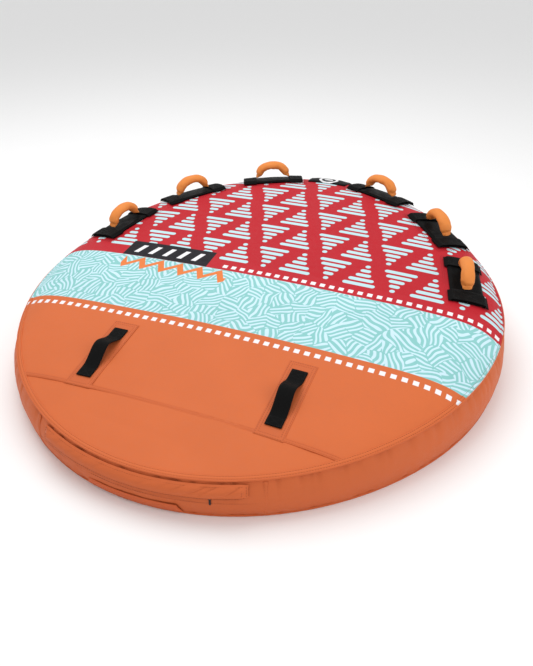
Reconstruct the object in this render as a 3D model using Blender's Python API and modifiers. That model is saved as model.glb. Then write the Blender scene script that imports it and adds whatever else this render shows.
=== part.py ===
"""Two-rider towable tube: a sewn cover over an inflatable bladder, with six padded grips.

Frame: +Y is the towed front, +X is the rider's right, +Z is up. The origin is on the floor
under the middle of the deck. All lengths are in metres.
"""

from math import acos, asin, atan2, cos, hypot, pi, radians, sin, sqrt

import bmesh
import bpy
from mathutils import Matrix, Vector

# Cover: outline, seam line and deck
DECK_WIDTH = 1.468
DECK_LENGTH = 1.596
OUTLINE_SQUARENESS = 0.006
FRONT_SEAM_HEIGHT = 0.198
REAR_SEAM_HEIGHT = 0.102
FRONT_DECK_HEIGHT = 0.308
REAR_DECK_HEIGHT = 0.103
DECK_CROWN = 0.024
SHOULDER_POWER = 14
SEAM_INSET = 0.0145
BOTTOM_INSET = 0.012
REAR_PANEL_LINE = -0.376 * DECK_LENGTH
COVER_THICKNESS = 0.002
WELT_RADIUS = 0.0025
GAP = 0.0003

# Bladder and its baffles
BLADDER_CLEARANCE = 0.012
BLADDER_WALL = 0.0015
BAFFLE_SPACING = 0.30
BAFFLE_THICKNESS = 0.002
BAFFLE_CLEARANCE = 0.008
BAFFLE_HOLE_RADIUS = 0.025
BAFFLE_END_MARGIN = 0.170

# Inflation valve
VALVE_BORE_RADIUS = 0.0140
VALVE_BARREL_RADIUS = 0.0170
VALVE_FLANGE_RADIUS = 0.2157 * REAR_SEAM_HEIGHT
VALVE_FLANGE_THICKNESS = 0.002
VALVE_DEPTH = 0.024
CAP_DEPTH = 0.006
CAP_CLEARANCE = 0.0005

# Padded grips round the front half
GRIP_FIRST_BEARING = 18.7
GRIP_PITCH = 28.3
GRIP_INSET = 0.131
PAD_LENGTH = 0.223
PAD_WIDTH = 0.096
PAD_THICKNESS = 0.007
PAD_LIFT = 0.0015
BAR_WIDTH = 0.050
BAR_LENGTH = 0.112
BAR_THICKNESS = 0.003
BAR_CLEARANCE = 0.0012
GRIP_SPAN = 0.104
GRIP_RISE = 0.048
GRIP_LEAN = 12.0
SLEEVE_RADIUS = 0.0165
SLEEVE_WALL = 0.425 * SLEEVE_RADIUS
SLEEVE_FOOT_HEIGHT = 0.013
SLEEVE_FOOT_TAPER = 0.65
CORE_RADIUS = 0.0045
CORE_FOOT_HEIGHT = 0.0055

# Boarding straps on the rear deck
STRAP_OFFSET = 0.262
STRAP_FRONT = -0.2437 * DECK_LENGTH
STRAP_LENGTH = 0.188
STRAP_WIDTH = 0.043
STRAP_THICKNESS = 0.003
STRAP_RISE = 0.026
STRAP_TAB_LENGTH = 0.030
STRAP_TAB_HEIGHT = 0.0085
STRAP_END_GAP = 0.003
STRAP_CLEARANCE = 0.0016
STRAP_PATCH_LENGTH = 0.250
STRAP_PATCH_WIDTH = 0.076
PATCH_THICKNESS = 0.0012

# Zip in the rear of the side band
ZIP_HEIGHT = 0.701 * REAR_SEAM_HEIGHT
ZIP_REACH = 0.250
ZIP_SLOT_HEIGHT = 0.012
ZIP_SLOT_DEPTH = 0.2
TAPE_HEIGHT = REAR_SEAM_HEIGHT / 3
TAPE_END = 0.015
TAPE_THICKNESS = 0.001
TAPE_CLEARANCE = 0.0036
CHAIN_HEIGHT = 0.006
CHAIN_THICKNESS = 0.002
CHAIN_PROUD = 0.0004
SLIDER_OFFSET = 0.190
SLIDER_LENGTH = 0.012
SLIDER_WALL = 0.0012
SLIDER_CLEARANCE = 0.0004
EAR_THICKNESS = 0.0012
EAR_SPACING = 0.0062
PIN_RADIUS = 0.0007
PULL_BORE_RADIUS = 0.0011
PULL_EYE_RADIUS = 0.0019
PULL_THICKNESS = 0.0014
PULL_LENGTH = 0.018
PULL_WIDTH = 0.0044

# Storm flap over the zip, and the wear patch under it
FLAP_BEARING = 20.0
FLAP_TOP_PATH = 1.06
FLAP_HEIGHT = 0.267 * REAR_SEAM_HEIGHT
FLAP_THICKNESS = 0.0015
FLAP_TOP_LIFT = 0.001
FLAP_MIDDLE_LIFT = 0.0085
FLAP_BOTTOM_LIFT = 0.0068
FLAP_HINGE_SHARE = 0.5
FLAP_HINGE_RISE = 0.1 * REAR_SEAM_HEIGHT
WEAR_PATCH_WIDTH = 0.230
WEAR_PATCH_LOW = 0.008
WEAR_PATCH_HIGH = REAR_SEAM_HEIGHT / 3

# Tow point at the front
TOW_PATCH_START = 0.825
TOW_PATCH_CLEARANCE = 0.027
TOW_PATCH_LIFT = 0.004
TOW_PATCH_THICKNESS = 0.0015
TOW_WEBBING_WIDTH = 0.050
TOW_WEBBING_THICKNESS = 0.003
TOW_BAR_HEIGHT = 0.135
TOW_BAR_THICKNESS = 0.012
TOW_BAR_DEPTH = 0.010
TOW_STEM_HEIGHT = 0.186
TOW_MARGIN = 0.002
CONNECTOR_WIDTH = 0.076
CONNECTOR_RAIL = 0.010
CONNECTOR_LENGTH = 0.072
CONNECTOR_EYE_RADIUS = 0.013
CONNECTOR_NOSE_RADIUS = 0.025

# How finely curves are divided
RIM_SEGMENTS = 48
BLADDER_SEGMENTS = 32
ARCH_SEGMENTS = 8
ROUND_SEGMENTS = 16
PIN_SEGMENTS = 10
WELD_DISTANCE = 0.00001
STEP = 0.001

# Colour, roughness and metallic of each material
LOOKS = {
    "printed_nylon": ((0.62, 0.03, 0.05), 0.6, 0.0),
    "orange_nylon": ((0.80, 0.20, 0.07), 0.6, 0.0),
    "bladder_vinyl": ((0.75, 0.76, 0.78), 0.4, 0.0),
    "black_webbing": ((0.01, 0.01, 0.01), 0.8, 0.0),
    "black_neoprene": ((0.008, 0.008, 0.008), 0.9, 0.0),
    "grip_fabric": ((0.83, 0.31, 0.08), 0.7, 0.0),
    "black_plastic": ((0.015, 0.015, 0.015), 0.4, 0.0),
    "grey_plastic": ((0.25, 0.26, 0.27), 0.4, 0.0),
}

PARTS = None
CUTTERS = None


# ---------------------------------------------------------------- scene and materials

def clear_scene():
    for old in list(bpy.data.objects):
        bpy.data.objects.remove(old, do_unlink=True)


def new_collection(name):
    collection = bpy.data.collections.new(name)
    bpy.context.scene.collection.children.link(collection)
    return collection


def material_named(name):
    found = bpy.data.materials.get(name)
    if found:
        return found
    colour, roughness, metallic = LOOKS[name]
    material = bpy.data.materials.new(name)
    material.use_nodes = True
    shader = material.node_tree.nodes["Principled BSDF"]
    shader.inputs["Base Color"].default_value = (*colour, 1.0)
    shader.inputs["Roughness"].default_value = roughness
    shader.inputs["Metallic"].default_value = metallic
    return material


def add_object(name, data, material, collection=None):
    made = bpy.data.objects.new(name, data)
    (collection or PARTS).objects.link(made)
    if material:
        data.materials.append(material_named(material))
    return made


def mesh_object(name, surface, material, collection=None):
    data = bpy.data.meshes.new(name)
    surface.to_mesh(data)
    surface.free()
    return add_object(name, data, material, collection)


def cutter_from(surface, name):
    cutter = mesh_object(name, surface, None, CUTTERS)
    cutter.hide_render = True
    cutter.display_type = "WIRE"
    return cutter


def boolean(part, cutter, operation="DIFFERENCE"):
    cut = part.modifiers.new(cutter.name, "BOOLEAN")
    cut.operation = operation
    cut.object = cutter


# ---------------------------------------------------------------- the cover's surface

def along_deck(front, rear, y):
    """A height that runs evenly from its rear value to its front value."""
    return rear + (front - rear) * (y / DECK_LENGTH + 0.5)


def outline_radius(bearing):
    """Plan radius of the widest line; the bearing runs clockwise from the front."""
    oval = (DECK_LENGTH - DECK_WIDTH) / 4
    mean = (DECK_LENGTH + DECK_WIDTH) / 4 - OUTLINE_SQUARENESS
    return mean + oval * cos(2 * bearing) + OUTLINE_SQUARENESS * cos(4 * bearing)


def seam_height(y):
    return along_deck(FRONT_SEAM_HEIGHT, REAR_SEAM_HEIGHT, y)


def deck_height(x, y):
    """Nearly flat deck that turns down to the ring seam in a tight round shoulder."""
    share = min(1.0, hypot(x, y) / (outline_radius(atan2(x, y)) - SEAM_INSET))
    shoulder = along_deck(FRONT_DECK_HEIGHT, REAR_DECK_HEIGHT, y) - seam_height(y)
    fall = shoulder * (1 - share ** SHOULDER_POWER)
    return seam_height(y) + fall + DECK_CROWN * (1 - share ** 2)


def band_inset(level):
    """How far the bulging side band lies inside the widest line, from floor 0 to seam 1."""
    if level > 0.5:
        return SEAM_INSET * (2 * level - 1) ** 2
    return BOTTOM_INSET * (1 - 2 * level) ** 2


def skin_point(bearing, path):
    """The cover's outside. Path 0 to 1 is the deck, 1 to 2 the band, 2 to 3 the bottom."""
    if path <= 1:
        radius = path * (outline_radius(bearing) - SEAM_INSET)
    elif path <= 2:
        radius = outline_radius(bearing) - band_inset(2 - path)
    else:
        radius = (3 - path) * (outline_radius(bearing) - BOTTOM_INSET)
    x = radius * sin(bearing)
    y = radius * cos(bearing)
    if path <= 1:
        return Vector((x, y, deck_height(x, y)))
    if path <= 2:
        return Vector((x, y, (2 - path) * seam_height(y)))
    return Vector((x, y, 0.0))


def skin_normal(bearing, path):
    across = skin_point(bearing + STEP, path) - skin_point(bearing - STEP, path)
    down = skin_point(bearing, path + STEP) - skin_point(bearing, path - STEP)
    return across.cross(down).normalized()


def band_path(y, height):
    """Path value of a height on the side band."""
    return 2 - height / seam_height(y)


def deck_normal(x, y):
    slope_x = (deck_height(x + STEP, y) - deck_height(x - STEP, y)) / (2 * STEP)
    slope_y = (deck_height(x, y + STEP) - deck_height(x, y - STEP)) / (2 * STEP)
    return Vector((-slope_x, -slope_y, 1.0)).normalized()


def above_deck(x, y, lift):
    return Vector((x, y, deck_height(x, y))) + deck_normal(x, y) * lift


# ---------------------------------------------------------------- shape makers

def sheet(name, material, place, columns, rows, thickness, outwards=True):
    """A grid whose corners go where place(u, v) says, given its thickness by Solidify."""
    surface = bmesh.new()
    bmesh.ops.create_grid(surface, x_segments=columns, y_segments=rows, size=0.5)
    for vertex in surface.verts:
        vertex.co = place(vertex.co.x + 0.5, vertex.co.y + 0.5)
    bmesh.ops.remove_doubles(surface, verts=surface.verts, dist=WELD_DISTANCE)
    part = mesh_object(name, surface, material)
    part.data.shade_smooth()
    wall = part.modifiers.new("thickness", "SOLIDIFY")
    wall.thickness = thickness
    wall.offset = 1 if outwards else -1
    wall.use_even_offset = True
    return part


def step_through(values, share):
    """Reads evenly spaced values, with straight runs between them."""
    place = share * (len(values) - 1)
    first = min(int(place + WELD_DISTANCE), len(values) - 2)
    return values[first] + (values[first + 1] - values[first]) * (place - first)


def skin_sheet(name, material, bearings, paths, lift, thickness, columns, outwards=True):
    """A sheet that lies on the cover's outside, with a row of corners at each path value."""
    def place(u, v):
        bearing = bearings[0] + (bearings[1] - bearings[0]) * u
        path = step_through(paths, v)
        point = skin_point(bearing, path)
        return point + skin_normal(bearing, path) * lift if lift else point
    return sheet(name, material, place, columns, len(paths) - 1, thickness, outwards)


def draped_sheet(name, material, frame, length, width, lift, thickness, columns, rows):
    """A rectangle laid on the deck, its long side along the frame's X axis."""
    def place(u, v):
        corner = frame @ Vector(((u - 0.5) * length, (v - 0.5) * width, 0.0))
        return above_deck(corner.x, corner.y, lift)
    return sheet(name, material, place, columns, rows, thickness)


def box(name, material, size, centre, collection=None):
    surface = bmesh.new()
    bmesh.ops.create_cube(surface, size=1.0)
    bmesh.ops.scale(surface, vec=size, verts=surface.verts)
    bmesh.ops.translate(surface, vec=centre, verts=surface.verts)
    return mesh_object(name, surface, material, collection)


def cutting_box(name, size, centre):
    cutter = box(name, None, size, centre, CUTTERS)
    cutter.hide_render = True
    cutter.display_type = "WIRE"
    return cutter


def cutting_cylinder(name, radius, length, matrix, segments):
    surface = bmesh.new()
    bmesh.ops.create_cone(surface, cap_ends=True, segments=segments,
                          radius1=radius, radius2=radius, depth=length)
    cutter = cutter_from(surface, name)
    cutter.matrix_world = matrix
    return cutter


def tube(name, material, points, radius, resolution, closed=False, capped=True, widths=None):
    """A round tube along straight runs between points."""
    curve = bpy.data.curves.new(name, "CURVE")
    curve.dimensions = "3D"
    curve.bevel_depth = radius
    curve.bevel_resolution = resolution
    curve.use_fill_caps = capped and not closed
    line = curve.splines.new("POLY")
    line.points.add(len(points) - 1)
    for index, point in enumerate(points):
        line.points[index].co = (*point, 1.0)
        line.points[index].radius = widths[index] if widths else 1.0
    line.use_cyclic_u = closed
    line.use_smooth = True
    return add_object(name, curve, material)


def flat_plate(name, material, outlines, thickness, matrix, rounding=0.0):
    """A flat outline with holes, extruded to its thickness."""
    curve = bpy.data.curves.new(name, "CURVE")
    curve.dimensions = "2D"
    curve.fill_mode = "BOTH"
    curve.extrude = thickness / 2 - rounding
    curve.bevel_depth = rounding
    curve.bevel_resolution = 0
    for outline in outlines:
        line = curve.splines.new("POLY")
        line.points.add(len(outline) - 1)
        for index, (x, y) in enumerate(outline):
            line.points[index].co = (x, y, 0.0, 1.0)
        line.use_cyclic_u = True
    plate = add_object(name, curve, material)
    plate.matrix_world = matrix
    return plate


def arc(centre_x, centre_y, radius, start, end, count):
    """Points along an arc; angles in degrees, anticlockwise."""
    turns = [radians(start + (end - start) * index / (count - 1)) for index in range(count)]
    return [(centre_x + radius * cos(turn), centre_y + radius * sin(turn)) for turn in turns]


def circle(centre_x, centre_y, radius, count):
    return arc(centre_x, centre_y, radius, 0, 360 * (count - 1) / count, count)


def turned(name, material, profile, segments, matrix):
    """A closed profile of (radius, height) points turned about Z."""
    surface = bmesh.new()
    corners = [surface.verts.new((radius, 0.0, height)) for radius, height in profile]
    for index, corner in enumerate(corners):
        surface.edges.new((corner, corners[(index + 1) % len(corners)]))
    part = mesh_object(name, surface, material)
    spin = part.modifiers.new("turn", "SCREW")
    spin.steps = segments
    spin.render_steps = segments
    spin.use_merge_vertices = True
    spin.merge_threshold = WELD_DISTANCE
    part.matrix_world = matrix
    return part


# ---------------------------------------------------------------- cover

def deck_paths():
    edge = 1 - (WELT_RADIUS + 2 * GAP) / (DECK_WIDTH / 2)
    return [0.0, 0.30, 0.55, 0.72, 0.82, 0.89, 0.94, 0.975, edge]


def whole_deck(name, material):
    return skin_sheet(name, material, (0.0, 2 * pi), deck_paths(), 0.0, COVER_THICKNESS,
                      RIM_SEGMENTS, outwards=False)


def add_deck_panels():
    """One skin, parted along a straight seam across the rear."""
    reach = 2 * DECK_LENGTH
    rear_centre = REAR_PANEL_LINE - reach / 2
    front_centre = REAR_PANEL_LINE + reach / 2
    rear_space = cutting_box("rear_space", (reach, reach, reach), (0, rear_centre + GAP / 2, 0))
    front_space = cutting_box("front_space", (reach, reach, reach), (0, front_centre - GAP / 2, 0))
    boolean(whole_deck("top_panel", "printed_nylon"), rear_space)
    boolean(whole_deck("rear_top_panel", "orange_nylon"), front_space)


def add_side_band():
    levels = [0.93, 0.78, 0.60, 0.42, 0.24]

    def place(u, v):
        bearing = 2 * pi * u
        y = outline_radius(bearing) * cos(bearing)
        top = band_path(y, seam_height(y) - WELT_RADIUS - GAP)
        bottom = band_path(y, 2 * WELT_RADIUS + 3 * GAP)
        paths = [top] + [2 - level for level in levels] + [bottom]
        return skin_point(bearing, step_through(paths, v))
    band = sheet("side_band", "orange_nylon", place, RIM_SEGMENTS, len(levels) + 1,
                 COVER_THICKNESS, outwards=False)
    boolean(band, bpy.data.objects["zip_slot"])


def add_bottom_panel():
    edge = 3 - (1 - (WELT_RADIUS + 2 * GAP) / (DECK_WIDTH / 2))
    skin_sheet("bottom_panel", "orange_nylon", (0.0, 2 * pi), [edge, 2.4, 3.0], 0.0,
               COVER_THICKNESS, RIM_SEGMENTS, outwards=False)


def rim_bearings():
    return [2 * pi * index / RIM_SEGMENTS for index in range(RIM_SEGMENTS)]


def add_welts():
    """The corded seams where the side band meets the deck and the bottom."""
    top = [skin_point(bearing, 1.0) for bearing in rim_bearings()]
    tube("top_seam_welt", "orange_nylon", top, WELT_RADIUS, 1, closed=True)
    lift = Vector((0.0, 0.0, WELT_RADIUS + GAP))
    bottom = [skin_point(bearing, 2.0) + lift for bearing in rim_bearings()]
    tube("bottom_seam_welt", "orange_nylon", bottom, WELT_RADIUS, 1, closed=True)


# ---------------------------------------------------------------- bladder and valve

def bladder_point(bearing, path):
    """The bladder's outside, a constant clearance inside the cover."""
    outside = skin_point(bearing, path)
    height = deck_height(outside.x, outside.y)
    shrink = 1 - BLADDER_CLEARANCE / outline_radius(bearing)
    rise = BLADDER_CLEARANCE + outside.z * (1 - 2 * BLADDER_CLEARANCE / height)
    return Vector((outside.x * shrink, outside.y * shrink, rise))


def valve_matrix():
    """The valve's axis points out of the rear, from the bladder's widest line."""
    rear = bladder_point(pi, 1.5)
    return Matrix.Translation(rear) @ Matrix.Rotation(pi / 2, 4, "X")


def add_bladder():
    paths = [0.0, 0.45, 0.72, 0.86, 0.94, 1.0, 1.25, 1.5, 1.75, 2.0, 2.4, 3.0]

    def place(u, v):
        return bladder_point(2 * pi * u, step_through(paths, v))
    bladder = sheet("bladder", "bladder_vinyl", place, BLADDER_SEGMENTS, len(paths) - 1,
                    BLADDER_WALL, outwards=False)
    hole = cutting_cylinder("valve_hole", VALVE_BARREL_RADIUS + GAP, 2 * VALVE_DEPTH,
                            valve_matrix(), ROUND_SEGMENTS)
    boolean(bladder, hole)


def baffle_top(x, y):
    return deck_height(x, y) - BLADDER_CLEARANCE - BLADDER_WALL - BAFFLE_CLEARANCE


def add_baffle(name, x):
    """A welded sheet that ties the deck to the floor, with holes that let the air through."""
    reach = sqrt((DECK_LENGTH / 2) ** 2 - x ** 2) - BAFFLE_END_MARGIN
    floor = BLADDER_CLEARANCE + BLADDER_WALL + BAFFLE_CLEARANCE
    stations = [reach - 2 * reach * index / ARCH_SEGMENTS for index in range(ARCH_SEGMENTS + 1)]
    outline = [(y, baffle_top(x, y)) for y in stations] + [(-reach, floor), (reach, floor)]
    holes = []
    for y in (-reach / 2, 0.0, reach / 2):
        middle = (floor + baffle_top(x, y)) / 2
        holes.append(circle(y, middle, BAFFLE_HOLE_RADIUS, ROUND_SEGMENTS))
    upright = Matrix(((0, 0, 1, x), (1, 0, 0, 0), (0, 1, 0, 0), (0, 0, 0, 1)))
    flat_plate(name, "bladder_vinyl", [outline] + holes, BAFFLE_THICKNESS, upright)


def add_valve():
    flange_top = VALVE_FLANGE_THICKNESS + GAP
    body = [(VALVE_BORE_RADIUS, flange_top), (VALVE_FLANGE_RADIUS, flange_top),
            (VALVE_FLANGE_RADIUS, GAP), (VALVE_BARREL_RADIUS, GAP),
            (VALVE_BARREL_RADIUS, -VALVE_DEPTH), (VALVE_BORE_RADIUS, -VALVE_DEPTH)]
    turned("valve_body", "black_plastic", body, ROUND_SEGMENTS, valve_matrix())
    surface = bmesh.new()
    radius = VALVE_BORE_RADIUS - CAP_CLEARANCE
    bmesh.ops.create_cone(surface, cap_ends=True, segments=ROUND_SEGMENTS,
                          radius1=radius, radius2=radius, depth=CAP_DEPTH)
    cap = mesh_object("valve_cap", surface, "grey_plastic")
    cap.matrix_world = valve_matrix()


# ---------------------------------------------------------------- grips

def grip_frame(bearing):
    """Plan frame of one grip: X along the rim, Y towards the rim, origin under its middle."""
    radius = outline_radius(bearing) - GRIP_INSET
    out = skin_facing(bearing)
    along = Vector((out.y, -out.x, 0.0))
    place = Vector((radius * sin(bearing), radius * cos(bearing), 0.0))
    return Matrix(((along.x, out.x, 0, place.x), (along.y, out.y, 0, place.y),
                   (0, 0, 1, 0), (0, 0, 0, 1)))


def skin_facing(bearing):
    """Horizontal direction that faces squarely out of the rim."""
    ahead = skin_point(bearing + STEP, 1.0) - skin_point(bearing - STEP, 1.0)
    return Vector((-ahead.y, ahead.x, 0.0)).normalized()


def grip_hinge(frame):
    """Frame on top of the pad: X along the line through both feet, Z square to the deck."""
    place = frame.translation
    up = deck_normal(place.x, place.y)
    along = frame.to_3x3() @ Vector((1, 0, 0))
    along = (along - up * along.dot(up)).normalized()
    out = up.cross(along)
    origin = above_deck(place.x, place.y, PAD_LIFT + PAD_THICKNESS)
    return Matrix(((along.x, out.x, up.x, origin.x), (along.y, out.y, up.y, origin.y),
                   (along.z, out.z, up.z, origin.z), (0, 0, 0, 1)))


def leaning(hinge):
    """The hinge frame leant inboard by the slack grip's rest angle."""
    return hinge @ Matrix.Rotation(radians(GRIP_LEAN), 4, "X")


def arch_points(foot_height):
    """Half an ellipse from foot to foot, started where it is foot_height above the pad."""
    start = asin(foot_height / GRIP_RISE)
    turns = [start + (pi - 2 * start) * index / ARCH_SEGMENTS for index in range(ARCH_SEGMENTS + 1)]
    return [(-GRIP_SPAN / 2 * cos(turn), 0.0, GRIP_RISE * sin(turn)) for turn in turns]


def add_grip(name, bearing):
    frame = grip_frame(bearing)
    draped_sheet(name + "_pad", "black_neoprene", frame, PAD_LENGTH, PAD_WIDTH, PAD_LIFT,
                 PAD_THICKNESS, 6, 5)
    bar_lift = PAD_LIFT + PAD_THICKNESS + BAR_CLEARANCE
    bar_offset = (PAD_LENGTH - BAR_WIDTH) / 2
    for side, offset in (("left", -bar_offset), ("right", bar_offset)):
        bar_frame = frame @ Matrix.Translation((offset, 0, 0))
        draped_sheet(name + "_" + side + "_bar", "black_webbing", bar_frame, BAR_WIDTH,
                     BAR_LENGTH, bar_lift, BAR_THICKNESS, 2, 6)
    hinge = grip_hinge(frame)
    widths = [1.0] * (ARCH_SEGMENTS + 1)
    widths[0] = widths[-1] = SLEEVE_FOOT_TAPER
    sleeve = tube(name + "_sleeve", "grip_fabric", arch_points(SLEEVE_FOOT_HEIGHT),
                  SLEEVE_RADIUS, 2, capped=False, widths=widths)
    sleeve.matrix_world = leaning(hinge)
    wall = sleeve.modifiers.new("thickness", "SOLIDIFY")
    wall.thickness = SLEEVE_WALL * SLEEVE_FOOT_TAPER
    wall.offset = -1
    core = tube(name + "_core", "black_webbing", arch_points(CORE_FOOT_HEIGHT), CORE_RADIUS, 1)
    core.matrix_world = leaning(hinge)
    return hinge


def add_grips():
    for side, sign in (("left", -1), ("right", 1)):
        for row, place in enumerate(("front", "middle", "rear")):
            bearing = radians(GRIP_FIRST_BEARING + row * GRIP_PITCH)
            add_grip(place + "_" + side + "_grip", sign * bearing)


# ---------------------------------------------------------------- boarding straps

def strap_bump(share):
    """Height of the slack webbing along the free part of the strap."""
    return STRAP_RISE * (1 - cos(2 * pi * share)) / 2


def strap_split():
    """Share of the free part where the fixed end hands over to the part that swings."""
    return acos(1 - 2 * STRAP_TAB_HEIGHT / STRAP_RISE) / (2 * pi)


def strap_piece(name, x, start, end, columns):
    """A length of the strap between two distances back from its front end."""
    base = PATCH_THICKNESS + 2 * GAP + STRAP_CLEARANCE
    free = STRAP_LENGTH - 2 * STRAP_TAB_LENGTH

    def place(u, v):
        back = start + (end - start) * u
        share = min(1.0, max(0.0, (back - STRAP_TAB_LENGTH) / free))
        across = x + (v - 0.5) * STRAP_WIDTH
        y = STRAP_FRONT - back
        return Vector((across, y, deck_height(x, y) + base + strap_bump(share)))
    return sheet(name, "black_webbing", place, columns, 1, STRAP_THICKNESS)


def add_boarding_strap(name, x):
    middle = STRAP_FRONT - STRAP_LENGTH / 2
    turn = Matrix.Translation((x, middle, 0)) @ Matrix.Rotation(pi / 2, 4, "Z")
    draped_sheet(name + "_patch", "orange_nylon", turn, STRAP_PATCH_LENGTH, STRAP_PATCH_WIDTH,
                 2 * GAP, PATCH_THICKNESS, 6, 2)
    ramp = strap_split() * (STRAP_LENGTH - 2 * STRAP_TAB_LENGTH)
    front_end = STRAP_TAB_LENGTH + ramp
    rear_end = STRAP_LENGTH - front_end
    strap_piece(name + "_front_end", x, 0.0, front_end, 6)
    strap_piece(name + "_rear_end", x, rear_end, STRAP_LENGTH, 6)
    strap_piece(name + "_loop", x, front_end + STRAP_END_GAP, rear_end - STRAP_END_GAP, 8)


# ---------------------------------------------------------------- zip, flap and wear patch

def rear_band_point(x, height):
    """A point of the side band's outside at the rear, a distance x off the middle."""
    bearing = pi
    for _ in range(4):
        path = band_path(outline_radius(bearing) * cos(bearing), height)
        radius = outline_radius(bearing) - band_inset(2 - path)
        bearing = pi - asin(x / radius)
    return skin_point(bearing, path)


def zip_arc():
    """Centre and radius of the level arc that the zip follows round the rear."""
    middle = rear_band_point(0.0, ZIP_HEIGHT).y
    sag = rear_band_point(ZIP_REACH, ZIP_HEIGHT).y - middle
    radius = (ZIP_REACH ** 2 + sag ** 2) / (2 * sag)
    return middle + radius, radius


def zip_matrix(x):
    """Frame on the zip: X to the right along the arc, Y out of the band, Z up."""
    centre, radius = zip_arc()
    turn = asin(x / radius)
    return Matrix.Translation((0, centre, ZIP_HEIGHT)) @ Matrix.Rotation(turn, 4, "Z") \
        @ Matrix.Translation((0, -radius, 0)) @ Matrix.Rotation(pi, 4, "Z")


def arc_sheet(name, material, reach, height, inner, thickness, columns):
    """A level strip bent round the zip's arc, its inner face at a given distance from it."""
    centre, radius = zip_arc()

    def place(u, v):
        turn = asin(reach / radius) * (2 * u - 1)
        out = radius + inner
        z = ZIP_HEIGHT + height * (v - 0.5)
        return Vector((out * sin(turn), centre - out * cos(turn), z))
    return sheet(name, material, place, columns, 1, thickness)


def add_tape():
    """The cloth strip behind the band that the zip is sewn to."""
    reach = asin((ZIP_REACH + TAPE_END) / outline_radius(pi))

    def place(u, v):
        bearing = pi - reach + 2 * reach * u
        y = outline_radius(bearing) * cos(bearing)
        path = band_path(y, ZIP_HEIGHT + TAPE_HEIGHT * (0.5 - v))
        depth = COVER_THICKNESS + TAPE_CLEARANCE
        return skin_point(bearing, path) - skin_normal(bearing, path) * depth
    return sheet("zipper_tape", "orange_nylon", place, 16, 4, TAPE_THICKNESS, outwards=False)


def add_zip():
    rear = rear_band_point(0.0, ZIP_HEIGHT).y
    slot = cutting_box("zip_slot", (2 * ZIP_REACH, ZIP_SLOT_DEPTH, ZIP_SLOT_HEIGHT),
                       (0, rear + ZIP_SLOT_DEPTH / 4, ZIP_HEIGHT))
    boolean(add_tape(), slot)
    arc_sheet("zipper_chain", "black_plastic", ZIP_REACH - STEP, CHAIN_HEIGHT,
              CHAIN_PROUD - CHAIN_THICKNESS, CHAIN_THICKNESS, 24)
    add_slider()


def slider_front():
    """Distance of the slider's front plate out from the zip's arc."""
    return CHAIN_PROUD + SLIDER_CLEARANCE + SLIDER_WALL


def pull_pin():
    """Where the pull tab's pin lies out from the zip's arc."""
    return slider_front() + PULL_EYE_RADIUS + SLIDER_CLEARANCE


def pull_drop():
    """How far the pin lies below the zip's line, at the slider's lower end."""
    return CHAIN_HEIGHT / 2 + SLIDER_CLEARANCE + SLIDER_WALL


def pull_hinge(matrix):
    return matrix @ Matrix.Translation((0, pull_pin(), -pull_drop()))


def add_slider():
    matrix = zip_matrix(SLIDER_OFFSET)
    back = CHAIN_PROUD - CHAIN_THICKNESS - SLIDER_CLEARANCE - SLIDER_WALL
    depth = slider_front() - back
    channel = depth - 2 * SLIDER_WALL
    height = CHAIN_HEIGHT + 2 * SLIDER_CLEARANCE
    drop = pull_drop()
    middle = (slider_front() + back) / 2
    slider = box("zipper_slider", "black_plastic", (SLIDER_LENGTH, depth, height + 2 * SLIDER_WALL),
                 (0, middle, 0))
    slider.matrix_world = matrix
    passage = cutting_box("slider_channel", (2 * SLIDER_LENGTH, channel, height), (0, middle, 0))
    passage.matrix_world = matrix
    boolean(slider, passage)
    ear_root = slider_front() - SLIDER_WALL / 2
    ear_depth = pull_pin() + PULL_EYE_RADIUS - ear_root
    for side in (-1, 1):
        ear = cutting_box("slider_ear", (EAR_THICKNESS, ear_depth, 2 * PULL_EYE_RADIUS),
                          (side * EAR_SPACING / 2, ear_root + ear_depth / 2, PULL_EYE_RADIUS - drop))
        ear.matrix_world = matrix
        boolean(slider, ear, "UNION")
    pin_place = Matrix.Translation((0, pull_pin(), -drop)) @ Matrix.Rotation(pi / 2, 4, "Y")
    pin = cutting_cylinder("slider_pin", PIN_RADIUS, EAR_SPACING, matrix @ pin_place, PIN_SEGMENTS)
    boolean(slider, pin, "UNION")
    add_pull(matrix)


def add_pull(matrix):
    """The tab that hangs from the slider's pin; its origin is on the pin."""
    hinge = pull_hinge(matrix)
    surface = bmesh.new()
    bmesh.ops.create_cone(surface, cap_ends=True, segments=ROUND_SEGMENTS, radius1=PULL_EYE_RADIUS,
                          radius2=PULL_EYE_RADIUS, depth=PULL_WIDTH)
    bmesh.ops.rotate(surface, verts=surface.verts, matrix=Matrix.Rotation(pi / 2, 3, "Y"))
    pull = mesh_object("zipper_pull", surface, "black_plastic")
    pull.matrix_world = hinge
    blade = cutting_box("pull_blade", (PULL_WIDTH, PULL_THICKNESS, PULL_LENGTH),
                        (0, 0, -PULL_LENGTH / 2))
    blade.matrix_world = hinge
    boolean(pull, blade, "UNION")
    bore_place = hinge @ Matrix.Rotation(pi / 2, 4, "Y")
    bore = cutting_cylinder("pull_bore", PULL_BORE_RADIUS, 2 * PULL_WIDTH, bore_place, ROUND_SEGMENTS)
    boolean(pull, bore)


def flap_hinge():
    """On the level line the flap lifts about: above its top edge, halfway to its corners."""
    middle = skin_point(pi, FLAP_TOP_PATH)
    corner = skin_point(pi - radians(FLAP_BEARING), FLAP_TOP_PATH)
    hinge = middle.lerp(corner, FLAP_HINGE_SHARE)
    return Vector((0.0, hinge.y, hinge.z + FLAP_HINGE_RISE))


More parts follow.
